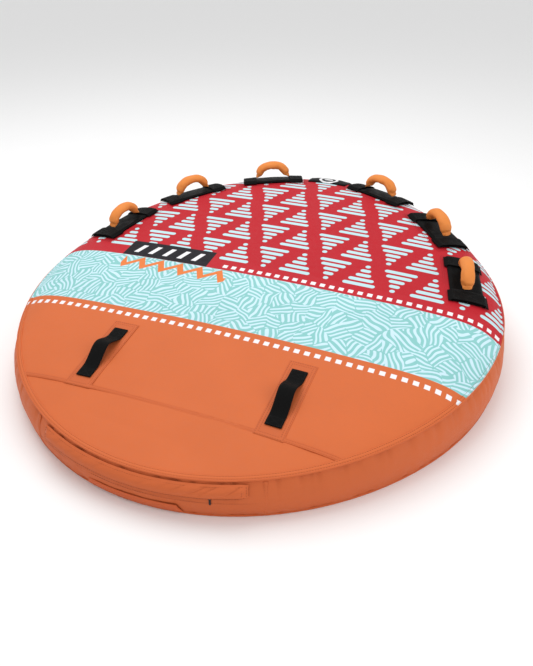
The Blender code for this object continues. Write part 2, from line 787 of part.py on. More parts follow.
def add_flap():
    """The strip that hangs over the zip, standing off enough to clear the slider."""
    lifts = [FLAP_TOP_LIFT, FLAP_MIDDLE_LIFT, FLAP_MIDDLE_LIFT, FLAP_BOTTOM_LIFT]
    reach = radians(FLAP_BEARING)

    def place(u, v):
        bearing = pi - reach + 2 * reach * u
        y = outline_radius(bearing) * cos(bearing)
        top = (2 - FLAP_TOP_PATH) * seam_height(y)
        path = band_path(y, top - FLAP_HEIGHT * v)
        lift = step_through(lifts, v)
        out = skin_normal(bearing, path)
        out.z = 0.0
        return skin_point(bearing, path) + out.normalized() * lift
    flap = sheet("zip_flap", "orange_nylon", place, 12, 3, FLAP_THICKNESS)
    flap.data.transform(Matrix.Translation(-flap_hinge()))
    flap.location = flap_hinge()


def add_wear_patch():
    """A patch with slanted ends low on the rear of the side band."""
    def place(u, v):
        slant = WEAR_PATCH_HIGH - WEAR_PATCH_LOW
        half = WEAR_PATCH_WIDTH / 2 - slant * (1 - v)
        height = WEAR_PATCH_HIGH - (WEAR_PATCH_HIGH - WEAR_PATCH_LOW) * v
        bearing = pi - asin(half * (1 - 2 * u) / outline_radius(pi))
        path = band_path(outline_radius(bearing) * cos(bearing), height)
        return skin_point(bearing, path) + skin_normal(bearing, path) * 3 * GAP
    sheet("rear_wear_patch", "orange_nylon", place, 8, 3, PATCH_THICKNESS)


# ---------------------------------------------------------------- tow point

def tow_loop_radius():
    """Inside radius of the webbing loop, which lets the connector's bar turn."""
    return hypot(TOW_BAR_THICKNESS, TOW_BAR_DEPTH) / 2 + 2 * GAP


def tow_face(height, lift):
    """Distance forward of the tow patch's face at a height, plus a lift."""
    y = outline_radius(0.0)
    surface = skin_point(0.0, band_path(y, height)).y
    return surface + TOW_PATCH_LIFT + TOW_PATCH_THICKNESS + lift


def tow_bar_place():
    loop = tow_loop_radius() + TOW_WEBBING_THICKNESS
    return Vector((0.0, tow_face(TOW_BAR_HEIGHT, TOW_MARGIN) + loop, TOW_BAR_HEIGHT))


def tow_patch_reach():
    """Half the patch's spread as a bearing; its inner corners stay clear of the front pads."""
    frame = grip_frame(radians(GRIP_FIRST_BEARING))
    low = frame @ Vector((-PAD_LENGTH / 2, -BAR_LENGTH / 2, 0))
    high = frame @ Vector((-PAD_LENGTH / 2, BAR_LENGTH / 2, 0))
    inner_edge = TOW_PATCH_START * (outline_radius(0.0) - SEAM_INSET)
    share = (inner_edge - low.y) / (high.y - low.y)
    return asin((low.x + (high.x - low.x) * share - TOW_PATCH_CLEARANCE) / inner_edge)


def add_tow_patch():
    reach = tow_patch_reach()
    paths = [TOW_PATCH_START, 0.86, 0.90, 0.94, 0.97, 0.99, 1.0, 1.10, 1.25, 1.40, 1.60]
    skin_sheet("tow_patch", "black_neoprene", (-reach, reach), paths, TOW_PATCH_LIFT,
               TOW_PATCH_THICKNESS, 6)


def add_tow_webbing():
    """A loop round the connector's bar, with a stem that is sewn up the patch."""
    bar = tow_bar_place()
    inside = tow_loop_radius()
    outside = inside + TOW_WEBBING_THICKNESS
    stem_back = tow_face(TOW_STEM_HEIGHT, TOW_MARGIN)
    stem = [(stem_back + TOW_WEBBING_THICKNESS, TOW_STEM_HEIGHT), (stem_back, TOW_STEM_HEIGHT)]
    slant = pi / 4
    outline = arc(bar.y, bar.z, outside, 180, 405, ROUND_SEGMENTS)
    outline += [(bar.y - inside * cos(slant), bar.z + outside * sin(slant) + TOW_WEBBING_THICKNESS)]
    hole = circle(bar.y, bar.z, inside, ROUND_SEGMENTS)
    upright = Matrix(((0, 0, 1, 0), (1, 0, 0, 0), (0, 1, 0, 0), (0, 0, 0, 1)))
    flat_plate("tow_webbing", "black_webbing", [outline + stem, hole], TOW_WEBBING_WIDTH, upright)


def add_tow_connector():
    """A moulded plate: a bar at its top for the webbing, and an eye for the tow rope."""
    half = CONNECTOR_WIDTH / 2
    top = TOW_BAR_DEPTH / 2
    slot_half = half - CONNECTOR_RAIL
    slot_bottom = -(tow_loop_radius() + TOW_WEBBING_THICKNESS + 4 * GAP)
    nose = -(CONNECTOR_LENGTH - top - CONNECTOR_NOSE_RADIUS)
    outline = [(-half, top), (-half, slot_bottom)]
    outline += arc(0.0, nose, CONNECTOR_NOSE_RADIUS, 180, 360, ROUND_SEGMENTS)
    outline += [(half, slot_bottom), (half, top)]
    slot = [(-slot_half, -top), (slot_half, -top), (slot_half, slot_bottom), (-slot_half, slot_bottom)]
    eye = circle(0.0, nose, CONNECTOR_EYE_RADIUS, ROUND_SEGMENTS)
    bar = tow_bar_place()
    facing = Matrix(((1, 0, 0, bar.x), (0, 0, -1, bar.y), (0, 1, 0, bar.z), (0, 0, 0, 1)))
    flat_plate("tow_connector", "black_plastic", [outline, slot, eye], TOW_BAR_THICKNESS, facing)


# ---------------------------------------------------------------- assembly

def build():
    global PARTS, CUTTERS
    clear_scene()
    PARTS = new_collection("towable_tube")
    CUTTERS = new_collection("cutters")
    add_zip()
    add_deck_panels()
    add_side_band()
    add_bottom_panel()
    add_welts()
    add_bladder()
    for name, x in (("left_baffle", -BAFFLE_SPACING), ("middle_baffle", 0.0),
                    ("right_baffle", BAFFLE_SPACING)):
        add_baffle(name, x)
    add_valve()
    add_grips()
    add_boarding_strap("left_strap", -STRAP_OFFSET)
    add_boarding_strap("right_strap", STRAP_OFFSET)
    add_flap()
    add_wear_patch()
    add_tow_patch()
    add_tow_webbing()
    add_tow_connector()


build()
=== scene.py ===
"""Looks of the towable tube: printed cloth, webbing, padding, zip and stitching on its frame.

Frame: +Y is the towed front, +X is the rider's right, +Z is up. The origin is on the floor
under the middle of the deck. All lengths are in metres.
"""

from contextlib import contextmanager
from math import asin, atan2, copysign, cos, exp, hypot, pi, radians, sin, sqrt

import bmesh
import bpy
from mathutils import Matrix, Vector, noise


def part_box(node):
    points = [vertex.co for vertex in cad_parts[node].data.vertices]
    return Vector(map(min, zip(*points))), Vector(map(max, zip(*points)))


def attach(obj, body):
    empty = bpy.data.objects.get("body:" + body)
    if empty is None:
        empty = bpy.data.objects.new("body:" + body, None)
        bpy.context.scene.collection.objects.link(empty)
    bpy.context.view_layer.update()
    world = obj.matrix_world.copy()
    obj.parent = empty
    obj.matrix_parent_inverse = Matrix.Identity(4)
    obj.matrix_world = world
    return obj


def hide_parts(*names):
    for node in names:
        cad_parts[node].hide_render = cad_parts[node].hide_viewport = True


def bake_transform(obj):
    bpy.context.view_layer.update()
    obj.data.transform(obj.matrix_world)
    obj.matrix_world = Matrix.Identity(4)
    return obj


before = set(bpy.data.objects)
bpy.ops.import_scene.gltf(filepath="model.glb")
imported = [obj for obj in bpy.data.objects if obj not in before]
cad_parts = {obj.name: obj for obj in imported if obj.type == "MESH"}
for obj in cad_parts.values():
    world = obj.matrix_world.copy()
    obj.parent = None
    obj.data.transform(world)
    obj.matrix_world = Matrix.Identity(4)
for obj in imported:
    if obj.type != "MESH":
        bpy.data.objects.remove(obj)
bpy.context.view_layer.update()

# Cover: outline, seams and deck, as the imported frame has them
BAND_LOW, BAND_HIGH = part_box("side_band")
DECK_WIDTH = BAND_HIGH.x - BAND_LOW.x
DECK_LENGTH = BAND_HIGH.y - BAND_LOW.y
OUTLINE_SQUARENESS = 0.006
FRONT_SEAM_HEIGHT = 0.198
REAR_SEAM_HEIGHT = 0.102
FRONT_DECK_HEIGHT = 0.308
REAR_DECK_HEIGHT = 0.103
DECK_CROWN = 0.024
SHOULDER_POWER = 14
SEAM_INSET = 0.0145
BOTTOM_INSET = 0.012
REAR_PANEL_LINE = -0.376 * DECK_LENGTH
CLOTH_THICKNESS = 0.0016
DECK_COLUMNS = 480
RIM_COLUMNS = 960
DECK_ROWS = 84
SEAM_TUCK = 0.0012
HEM_WIDTH = 0.014
HEM_HEIGHT = 0.0018
WELT_RADIUS = 0.0027
SEAM_STITCH_SHARES = (0.24, 0.76)
PANEL_SEAM_WIDTH = 0.012
PANEL_SEAM_HEIGHT = 0.0016

# Grips round the front half
GRIP_FIRST_BEARING = 18.7
GRIP_PITCH = 28.3
GRIP_INSET = 0.131
PAD_LENGTH = 0.223
PAD_WIDTH = 0.096
PAD_THICKNESS = 0.0072
PAD_LIFT = 0.0012
BAR_WIDTH = 0.050
BAR_LENGTH = 0.112
BAR_THICKNESS = 0.0030
BAR_LIFT = 0.0092
BAR_END_LIFT = 0.0035
GRIP_HALF_SPAN = 0.0515
GRIP_RISE = 0.0480
GRIP_LEAN = 12.0
GRIP_SQUARENESS = 2.35
SLEEVE_HALF_WIDTH = 0.0190
SLEEVE_HALF_DEPTH = 0.0145
SLEEVE_FOOT_WIDTH = 0.0155
SLEEVE_FOOT_DEPTH = 0.0035
SLEEVE_FOOT_REACH = 0.062
SLEEVE_FOOT_LIFT = 0.0035
SLEEVE_SEWN_HEIGHT = 0.012
SLEEVE_RINGS = 72
SLEEVE_CORNERS = 32
PAD_TOP = 0.0085
BAR_BOX = (-0.039, 0.039, -0.019, 0.019)
BAR_OUTER_BOX = (-0.043, 0.043, -0.0215, 0.0215)
BAR_STITCH = (0.0036, 0.0011)
BACKING_MARGINS = (0.009, 0.015)
SLEEVE_MESH = 0.004
SLEEVE_WRINKLE_REACH = 0.0022
SLEEVE_PRESSURE = 4.0
SLEEVE_FRAMES = 20

# Boarding straps
STRAP_OFFSET = 0.262
STRAP_FRONT = -0.2437 * DECK_LENGTH
STRAP_LENGTH = 0.188
STRAP_WIDTH = 0.043
STRAP_THICKNESS = 0.0028
STRAP_RISE = 0.026
STRAP_TAB_LENGTH = 0.030
STRAP_BASE = 0.0034
STRAP_PATCH_LENGTH = 0.250
STRAP_PATCH_WIDTH = 0.076
STRAP_PATCH_THICKNESS = 0.0012
STRAP_PATCH_TOP = 0.0019
STRAP_PATCH_INSETS = (0.003, 0.010)
STRAP_STITCH = (0.0034, 0.0011)
STRAP_STITCH_INSET = 0.004

# Rear zip, flap and wear patch
ZIP_HEIGHT = 0.701 * REAR_SEAM_HEIGHT
ZIP_REACH = 0.250
ZIP_SLOT_HEIGHT = 0.012
FLAP_BEARING = 20.0
FLAP_TOP_PATH = 1.06
FLAP_HEIGHT = 0.267 * REAR_SEAM_HEIGHT
FLAP_THICKNESS = 0.0018
WEAR_PATCH_WIDTH = 0.230
WEAR_PATCH_LOW = 0.008
WEAR_PATCH_THICKNESS = 0.0008
TOOTH_PITCH = 0.0021
TOOTH_SIZE = (0.0013, 0.0018, 0.0036)
TOOTH_OFFSET = 0.0009
WEAR_PATCH_HIGH = REAR_SEAM_HEIGHT / 3
BAND_SEAM_BEARINGS = (-157.2, 157.2)
BAND_SEAM_WIDTH = 0.011
BAND_SEAM_HEIGHT = 0.0015
BAND_SEAM_STITCHES = (-0.26, 0.26)
PLACKET_LINE = 0.052

# Tow point
TOW_PATCH_START = 0.825
TOW_PATCH_BEARING = 0.1127
TOW_PATCH_END = 1.60
TOW_PATCH_THICKNESS = 0.0015
TOW_PATCH_STITCH_INSETS = (0.010, 0.015)
EMBLEM_MIDDLE = 0.152
EMBLEM_RADIUS = 0.038
TOW_WEBBING_WIDTH = 0.050
TOW_WEBBING_THICKNESS = 0.003
TOW_BAR_HEIGHT = 0.135
TOW_STEM_HEIGHT = 0.186

# Print on the deck: edges of the colour fields and the repeat of each motif
TEAL_FRONT = -0.042
TEAL_REAR = -0.2945
TRIANGLE_BASE = 0.0105
TRIANGLE_HEIGHT = 0.1125
TRIANGLE_PITCH = 0.2008
TRIANGLE_ROW = 0.1365
TRIANGLE_ROW_SHIFT = -0.0488
TRIANGLE_START = -0.0044
TRIANGLE_BARS = (0.0488, 0.0382, 0.0232, 0.0158, 0.0079)
TRIANGLE_BAR_START = 0.0086
TRIANGLE_BAR_PITCH = 0.0242
TRIANGLE_BAR_WIDTH = 0.0152
PRINT_SPREAD = 0.13
SQUARE_PITCH = 0.0286
SQUARE_SIZE = 0.0150
FRONT_SQUARES = -0.0230
REAR_SQUARES = -0.3215
BADGE_MIDDLE = (-0.324, 0.0005)
BADGE_SIZE = (0.302, 0.083)
BADGE_BARS_SIZE = (0.250, 0.044)
ZIGZAG_MIDDLE = (-0.270, -0.077)
ZIGZAG_SIZE = (0.366, 0.066)
ZIGZAG_RUN = 0.034
ZIGZAG_STROKE = 0.0130
MAZE_CELLS = 19.0
MAZE_PITCH = 0.0148
MAZE_STROKE = 0.235
MAZE_DRIFT = 0.027

# Stitching
STITCH_LENGTH = 0.0048
STITCH_GAP = 0.0016
STITCH_WIDTH = 0.0012
STITCH_HEIGHT = 0.0005

# Looks
WEAVE_THREAD = 0.00032
FINE_THREAD = 0.00012
CLOTH_BUMP = 0.00012
CLOTH_GLOSS = 0.2
CORD_PITCH = 0.0072
RIB_PITCH = 0.0014
FLOOR_REACH = 12.0
FLOOR_GREY = 0.93

STEP = 0.001
TINY = 0.000001
REARWARDS = Vector((0, -1, 0))

FINISHES = {}


# ---------------------------------------------------------------- numbers and the cover's skin

def mix(first, last, share):
    return first + (last - first) * share


def ease(share):
    share = min(1.0, max(0.0, share))
    return share * share * (3 - 2 * share)


def shares(count):
    """Evenly spaced values from 0 to 1."""
    return [index / (count - 1) for index in range(count)]


def along_deck(front, rear, y):
    return mix(rear, front, y / DECK_LENGTH + 0.5)


def outline_radius(bearing):
    """Plan radius of the widest line; the bearing runs clockwise from the front."""
    oval = (DECK_LENGTH - DECK_WIDTH) / 4
    mean = (DECK_LENGTH + DECK_WIDTH) / 4 - OUTLINE_SQUARENESS
    return mean + oval * cos(2 * bearing) + OUTLINE_SQUARENESS * cos(4 * bearing)


def seam_height(y):
    return along_deck(FRONT_SEAM_HEIGHT, REAR_SEAM_HEIGHT, y)


def shoulder_height(y):
    return along_deck(FRONT_DECK_HEIGHT, REAR_DECK_HEIGHT, y) - seam_height(y)


def deck_height(x, y):
    """Nearly flat deck that turns down to the ring seam in a tight round shoulder."""
    share = min(1.0, hypot(x, y) / (outline_radius(atan2(x, y)) - SEAM_INSET))
    fall = shoulder_height(y) * (1 - share ** SHOULDER_POWER)
    return seam_height(y) + fall + DECK_CROWN * (1 - share ** 2)


def band_inset(level):
    """How far the bulging side band lies inside the widest line, from floor 0 to seam 1."""
    if level > 0.5:
        return SEAM_INSET * (2 * level - 1) ** 2
    return BOTTOM_INSET * (1 - 2 * level) ** 2


def skin_point(bearing, path):
    """The cover's outside. Path 0 to 1 is the deck, 1 to 2 the band, 2 to 3 the bottom."""
    if path <= 1:
        radius = path * (outline_radius(bearing) - SEAM_INSET)
    elif path <= 2:
        radius = outline_radius(bearing) - band_inset(2 - path)
    else:
        radius = (3 - path) * (outline_radius(bearing) - BOTTOM_INSET)
    x = radius * sin(bearing)
    y = radius * cos(bearing)
    if path <= 1:
        return Vector((x, y, deck_height(x, y)))
    if path <= 2:
        return Vector((x, y, (2 - path) * seam_height(y)))
    return Vector((x, y, 0.0))


def skin_normal(bearing, path):
    across = skin_point(bearing + STEP, path) - skin_point(bearing - STEP, path)
    down = skin_point(bearing, path + STEP) - skin_point(bearing, path - STEP)
    return across.cross(down).normalized()


def band_path(y, height):
    """Path value of a height on the side band."""
    return 2 - height / seam_height(y)


def rim_y(bearing):
    return outline_radius(bearing) * cos(bearing)


def deck_normal(x, y):
    slope_x = (deck_height(x + STEP, y) - deck_height(x - STEP, y)) / (2 * STEP)
    slope_y = (deck_height(x, y + STEP) - deck_height(x, y - STEP)) / (2 * STEP)
    return Vector((-slope_x, -slope_y, 1.0)).normalized()


def above_deck(x, y, lift):
    return Vector((x, y, deck_height(x, y))) + deck_normal(x, y) * lift


def on_skin(bearing, path, lift):
    """A point above the cover's outside, and the skin's normal there."""
    up = skin_normal(bearing, path)
    return skin_point(bearing, path) + up * lift, up


def rim_stretch(bearing):
    """Length along the skin for each unit of plan radius, at the ring seam."""
    radius = outline_radius(bearing) - SEAM_INSET
    fall = shoulder_height(rim_y(bearing)) * SHOULDER_POWER + 2 * DECK_CROWN
    return sqrt(1 + (fall / radius) ** 2)


def inboard_path(bearing, distance):
    """Deck path value a short distance inboard of the ring seam, measured along the cloth."""
    radius = outline_radius(bearing) - SEAM_INSET
    return 1 - distance / (radius * rim_stretch(bearing))


def rim_bearings(count=RIM_COLUMNS):
    return [2 * pi * share for share in shares(count + 1)]


def wander(x, y, z):
    """Smooth uneven value from -1 to 1 at a place."""
    return noise.noise(Vector((x, y, z)))


def signed_power(value, power):
    """Raises the value's size to a power and keeps its sign."""
    return copysign(abs(value) ** power, value)


def fade(distance, reach):
    """1 at no distance, dying away over the reach."""
    return exp(-distance / reach)


def crease(place, per_metre, seed):
    """Narrow uneven pinches along a line, 0 between them and 1 at their middle."""
    return (1 - abs(wander(place * per_metre, seed, 0.3))) ** 6


def lumps(point, per_metre, seed):
    return noise.noise(point * per_metre + Vector((seed, -seed, seed / 2)))


# ---------------------------------------------------------------- meshes

def new_piece(name, data, finish):
    data.materials.append(FINISHES[finish])
    data.shade_smooth()
    piece = bpy.data.objects.new(name, data)
    bpy.context.scene.collection.objects.link(piece)
    return piece


@contextmanager
def opened(data):
    """A mesh opened for editing, and written back at the end."""
    surface = bmesh.new()
    surface.from_mesh(data)
    yield surface
    surface.to_mesh(data)
    surface.free()


def mesh_piece(name, corners, faces, spots, finish, closed):
    """Spots holds, for each face corner in turn, its place on the flat cloth."""
    data = bpy.data.meshes.new(name)
    data.from_pydata(corners, [], faces)
    layer = data.uv_layers.new(name="cloth")
    layer.data.foreach_set("uv", [value for spot in spots for value in spot])
    with opened(data) as surface:
        bmesh.ops.remove_doubles(surface, verts=surface.verts, dist=TINY)
        if closed:
            bmesh.ops.recalc_face_normals(surface, faces=surface.faces)
    return new_piece(name, data, finish)


def grid_piece(name, rows, finish, closed=False):
    """A sheet through rows of pairs: a corner, and its place on the flat cloth."""
    across = len(rows[0])
    corners = [corner for row in rows for corner, _ in row]
    faces = []
    spots = []
    for row in range(len(rows) - 1):
        for column in range(across - 1):
            ring = ((row, column), (row, column + 1), (row + 1, column + 1), (row + 1, column))
            faces.append([r * across + c for r, c in ring])
            spots.extend(rows[r][c][1] for r, c in ring)
    return mesh_piece(name, corners, faces, spots, finish, closed)


def thicken(piece, thickness, outwards=False):
    wall = piece.modifiers.new("thickness", "SOLIDIFY")
    wall.thickness = thickness
    wall.offset = 1 if outwards else -1


def faced_sheet(name, rows, finish, out, thickness):
    """A sheet whose faces look along out on the whole, and which is thickened that way."""
    piece = grid_piece(name, rows, finish)
    with opened(piece.data) as surface:
        total = sum((face.normal for face in surface.faces), Vector())
        if total.dot(out) < 0:
            bmesh.ops.reverse_faces(surface, faces=surface.faces)
    thicken(piece, thickness, True)
    return piece


def running_lengths(points):
    total = 0.0
    lengths = [total]
    for before, after in zip(points, points[1:]):
        total += (after - before).length
        lengths.append(total)
    return lengths


def loft(name, rings, finish, looped=False):
    """A closed skin through rings of corners, capped at its ends unless it is looped."""
    count = len(rings[0])
    around = running_lengths(rings[0] + rings[0][:1])
    along = running_lengths([ring[0] for ring in rings] + ([rings[0][0]] if looped else []))
    corners = [corner for ring in rings for corner in ring]
    faces = []
    spots = []
    last = len(rings) if looped else len(rings) - 1
    for row in range(last):
        near = row * count
        far = (row + 1) % len(rings) * count
        for column in range(count):
            beside = (column + 1) % count
            faces.append((near + column, near + beside, far + beside, far + column))
            spots += [(around[column], along[row]), (around[column + 1], along[row])]
            spots += [(around[column + 1], along[row + 1]), (around[column], along[row + 1])]
    if not looped:
        for cap in (0, last):
            faces.append([cap * count + column for column in range(count)])
            spots += [(around[column], along[cap]) for column in range(count)]
    return mesh_piece(name, corners, faces, spots, finish, True)


def strap_section(width, thickness, corners=28, squareness=6):
    """Flat webbing's cut across, with rounded edges: (across, up) points round it."""
    turns = [2 * pi * index / corners - pi for index in range(corners)]
    return [(signed_power(cos(turn), 2 / squareness) * width / 2,
             signed_power(sin(turn), 2 / squareness) * thickness / 2) for turn in turns]


def laid_piece(name, finish, place, length, section, lift, stations=24, end_radius=0.0):
    """A strip laid on the deck along its frame's X axis; lift(along, across) raises it."""
    rings = []
    for share in shares(stations):
        along = (share - 0.5) * length
        inset = length / 2 - abs(along)
        shrink = 1.0
        if inset < end_radius:
            shrink = sqrt(max(0.02, 1 - (1 - inset / end_radius) ** 2))
        ring = []
        for across, up in section:
            plan = place @ Vector((along, across * mix(1, shrink, 0.04), 0.0))
            ring.append(above_deck(plan.x, plan.y, lift(along, across) + up * shrink))
        rings.append(ring)
    return loft(name, rings, finish)


def stitches(name, runs, finish, length=STITCH_LENGTH, width=STITCH_WIDTH):
    """Lock stitches along runs of (place, up) pairs: one piece, a small grain for each stitch."""
    corners = []
    faces = []
    for run in runs:
        lengths = running_lengths([place for place, _ in run])
        place_at = 0
        start = STITCH_GAP / 2
        while start + length < lengths[-1]:
            while lengths[place_at + 1] < start + length / 2:
                place_at += 1
            share = (start + length / 2 - lengths[place_at])
            share /= max(TINY, lengths[place_at + 1] - lengths[place_at])
            middle = run[place_at][0].lerp(run[place_at + 1][0], share)
            up = run[place_at][1]
            ahead = (run[place_at + 1][0] - run[place_at][0]).normalized()
            add_grain(corners, faces, middle, ahead, up, length, width)
            start += length + STITCH_GAP
    spots = [(0.0, 0.0)] * sum(len(face) for face in faces)
    return mesh_piece(name, corners, faces, spots, finish, False)


def add_grain(corners, faces, middle, ahead, up, length, width):
    """One stitch: a ridge with both ends drawn down into the cloth."""
    side = up.cross(ahead).normalized() * width / 2
    base = len(corners)
    rise = up * STITCH_HEIGHT
    corners.append(middle - ahead * length / 2 - rise)
    corners.append(middle + ahead * length / 2 - rise)
    for reach in (-0.25, 0.25):
        spot = middle + ahead * length * reach
        corners.extend([spot - side - rise * 0.4, spot + rise, spot + side - rise * 0.4])
    low, high = (base + 2, base + 3, base + 4), (base + 5, base + 6, base + 7)
    for index in (0, 1):
        faces.append((base, low[index + 1], low[index]))
        faces.append((base + 1, high[index], high[index + 1]))
        faces.append((low[index], low[index + 1], high[index + 1], high[index]))


def settle(piece, slot, *nodes):
    """Hangs a piece of the cover on the cover's body and hides the frame nodes it stands for; the
    slot is not used.
    """
    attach(piece, "cover")
    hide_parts(*nodes)
    return piece


def declare_stretched(piece):
    """Sums twice the flat cut's area over a cover panel's faces; the sum is not used."""
    places = [Vector(spot.uv) for spot in piece.data.uv_layers["cloth"].data]
    doubled = 0.0
    for face in piece.data.polygons:
        corners = [places[index] for index in face.loop_indices]
        edges = zip(corners, corners[1:] + corners[:1])
        doubled += abs(sum(first.cross(last) for first, last in edges))


def sew(name, runs, thread, slot, *size):
    """Stitches that move with the cover."""
    settle(stitches(name, runs, thread, *size), slot)


def box_corners(start, end, low, high):
    """A closed box of stitches, from one of its corners and back to it."""
    return [(start, low), (end, low), (end, high), (start, high), (start, low)]


def crossed_box(start, end, low, high):
    """A closed box with its first diagonal, and the other diagonal on its own."""
    return [box_corners(start, end, low, high) + [(end, high)], [(start, high), (end, low)]]


# ---------------------------------------------------------------- shader helpers

def dye(red, green, blue):
    """A colour given in display values from 0 to 255."""
    values = [value / 255 for value in (red, green, blue)]
    linear = [v / 12.92 if v <= 0.04045 else ((v + 0.055) / 1.055) ** 2.4 for v in values]
    return (*linear, 1.0)


class Recipe:
    """Adds shader nodes to one tree and joins them."""

    def __init__(self, tree):
        self.tree = tree

    def add(self, kind, inputs=None, **settings):
        node = self.tree.nodes.new(kind)
        for name, value in settings.items():
            setattr(node, name, value)
        for key, value in (inputs or {}).items():
            self.feed(node.inputs[key], value)
        return node

    def feed(self, socket, value):
        if isinstance(value, bpy.types.NodeSocket):
            self.tree.links.new(value, socket)
        else:
            socket.default_value = value

    def math(self, operation, first, second=0.0, third=0.0):
        inputs = {0: first, 1: second, 2: third}
        return self.add("ShaderNodeMath", inputs, operation=operation).outputs[0]

    def blend(self, share, first, second, kind="MIX"):
        inputs = {0: share, 6: first, 7: second}
        node = self.add("ShaderNodeMix", inputs, data_type="RGBA", blend_type=kind)
        return node.outputs[2]

    def remap(self, value, low, high, new_low, new_high):
        inputs = {0: value, 1: low, 2: high, 3: new_low, 4: new_high}
        return self.add("ShaderNodeMapRange", inputs).outputs[0]

    def noise(self, place, scale, detail=2.0, roughness=0.5):
        inputs = {"Vector": place, "Scale": scale, "Detail": detail, "Roughness": roughness}
        return self.add("ShaderNodeTexNoise", inputs).outputs["Fac"]

    def split(self, place):
        node = self.add("ShaderNodeSeparateXYZ", {0: place})
        return node.outputs[0], node.outputs[1]

    def both(self, first, second):
        return self.math("MULTIPLY", first, second)

    def either(self, first, second):
        return self.math("MAXIMUM", first, second)

    def apart(self, first, second):
        return self.math("ABSOLUTE", self.math("SUBTRACT", first, second))

    def off_whole(self, value):
        """How far a value lies from the nearest whole number."""
        return self.apart(value, self.math("ROUND", value))

    def length(self, x, y):
        return self.math("SQRT", self.math("ADD", self.both(x, x), self.both(y, y)))

    def vector(self, operation, inputs):
        return self.add("ShaderNodeVectorMath", inputs, operation=operation).outputs[0]

    def below(self, value, limit, softness=0.0006):
        """1 where the value is under the limit, with a soft printed edge."""
        return self.remap(value, limit - softness, limit + softness, 1.0, 0.0)

    def use(self, group, inputs):
        return self.add("ShaderNodeGroup", inputs, node_tree=group)


def new_group(name, inputs):
    """A group of the looks' colour, roughness and height; returns its recipe and both ends."""
    tree = bpy.data.node_groups.new(name, "ShaderNodeTree")
    for label, kind in inputs:
        tree.interface.new_socket(label, in_out="INPUT", socket_type="NodeSocket" + kind)
    for label, kind in (("Color", "Color"), ("Roughness", "Float"), ("Height", "Float")):
        tree.interface.new_socket(label, in_out="OUTPUT", socket_type="NodeSocket" + kind)
    source = tree.nodes.new("NodeGroupInput").outputs
    return Recipe(tree), source, tree.nodes.new("NodeGroupOutput").inputs


def woven_cloth_group():
    """Plain weave with uneven dye and faint rubbed patches."""
    recipe, source, out = new_group(
        "woven cloth",
        [("Place", "Vector"), ("Dye", "Color"), ("Thread", "Float"), ("Unevenness", "Float")])
    x, y = recipe.split(source["Place"])
    turn_x = recipe.math("SINE", recipe.math("DIVIDE", x, source["Thread"]))
    turn_y = recipe.math("SINE", recipe.math("DIVIDE", y, source["Thread"]))
    weave = recipe.remap(recipe.both(turn_x, turn_y), -1.0, 1.0, 0.0, 1.0)
    cloud = recipe.noise(source["Place"], 5.0, 3.0)
    mottle = recipe.noise(source["Place"], 60.0, 4.0, 0.65)
    tone = recipe.math("ADD", recipe.both(cloud, 0.6), recipe.both(mottle, 0.4))
    shift = recipe.both(recipe.math("SUBTRACT", tone, 0.5), source["Unevenness"])
    darker = recipe.math("ADD", recipe.math("ADD", 1.0, shift), recipe.both(weave, 0.05))
    grey = recipe.add("ShaderNodeCombineColor", {0: darker, 1: darker, 2: darker}).outputs[0]
    recipe.feed(out["Color"], recipe.blend(1.0, source["Dye"], grey, "MULTIPLY"))
    recipe.feed(out["Roughness"], recipe.remap(mottle, 0.3, 0.7, 0.50, 0.66))
    fibre = recipe.both(recipe.noise(source["Place"], 900.0, 1.0), 0.5)
    recipe.feed(out["Height"], recipe.math("ADD", weave, fibre))
    return recipe.tree


def ribbed_webbing_group():
    """Flat webbing: lengthwise cords crossed by fine ribs, rubbed paler on the high threads."""
    recipe, source, out = new_group(
        "ribbed webbing", [("Place", "Vector"), ("Dye", "Color"), ("Rub", "Color")])
    across, along = recipe.split(source["Place"])
    cords = recipe.math("ABSOLUTE", recipe.math("SINE", recipe.both(across, 2 * pi / CORD_PITCH)))
    ribs = recipe.math("ABSOLUTE", recipe.math("SINE", recipe.both(along, pi / RIB_PITCH)))
    height = recipe.math("ADD", recipe.both(cords, 0.7), recipe.both(ribs, 0.5))
    worn = recipe.noise(source["Place"], 45.0, 4.0, 0.7)
    share = recipe.both(recipe.remap(worn, 0.45, 0.75, 0.1, 0.8), recipe.both(cords, ribs))
    recipe.feed(out["Color"], recipe.blend(share, source["Dye"], source["Rub"]))
    recipe.feed(out["Roughness"], recipe.remap(worn, 0.3, 0.7, 0.52, 0.80))
    recipe.feed(out["Height"], height)
    return recipe.tree


def fine_grain_group():
    """Grain of moulded and rubbery surfaces, with dusty, scuffed places."""
    recipe, source, out = new_group(
        "fine grain", [("Place", "Vector"), ("Base", "Color"), ("Dust", "Color"), ("Grain", "Float")])
    grain = recipe.noise(source["Place"], source["Grain"], 3.0, 0.6)
    smudge = recipe.noise(source["Place"], 30.0, 5.0, 0.65)
    share = recipe.remap(smudge, 0.5, 0.8, 0.0, 0.5)
    recipe.feed(out["Color"], recipe.blend(share, source["Base"], source["Dust"]))
    recipe.feed(out["Roughness"], recipe.remap(smudge, 0.3, 0.7, 0.36, 0.62))
    recipe.feed(out["Height"], grain)
    return recipe.tree


def new_finish(name):
    """A material with its Principled shader; returns the recipe and the shader."""
    material = bpy.data.materials.new(name)
    material.use_nodes = True
    FINISHES[name] = material
    return Recipe(material.node_tree), material.node_tree.nodes["Principled BSDF"]


def dress(recipe, shader, effect, depth, specular):
    """Joins an effect group's colour, roughness and height to the shader."""
    recipe.feed(shader.inputs["Base Color"], effect.outputs["Color"])
    recipe.feed(shader.inputs["Roughness"], effect.outputs["Roughness"])
    bump = recipe.add("ShaderNodeBump", {"Height": effect.outputs["Height"], "Distance": depth})
    recipe.feed(shader.inputs["Normal"], bump.outputs[0])
    shader.inputs["Specular IOR Level"].default_value = specular


def cloth_place(recipe):
    return recipe.add("ShaderNodeUVMap", uv_map="cloth").outputs[0]


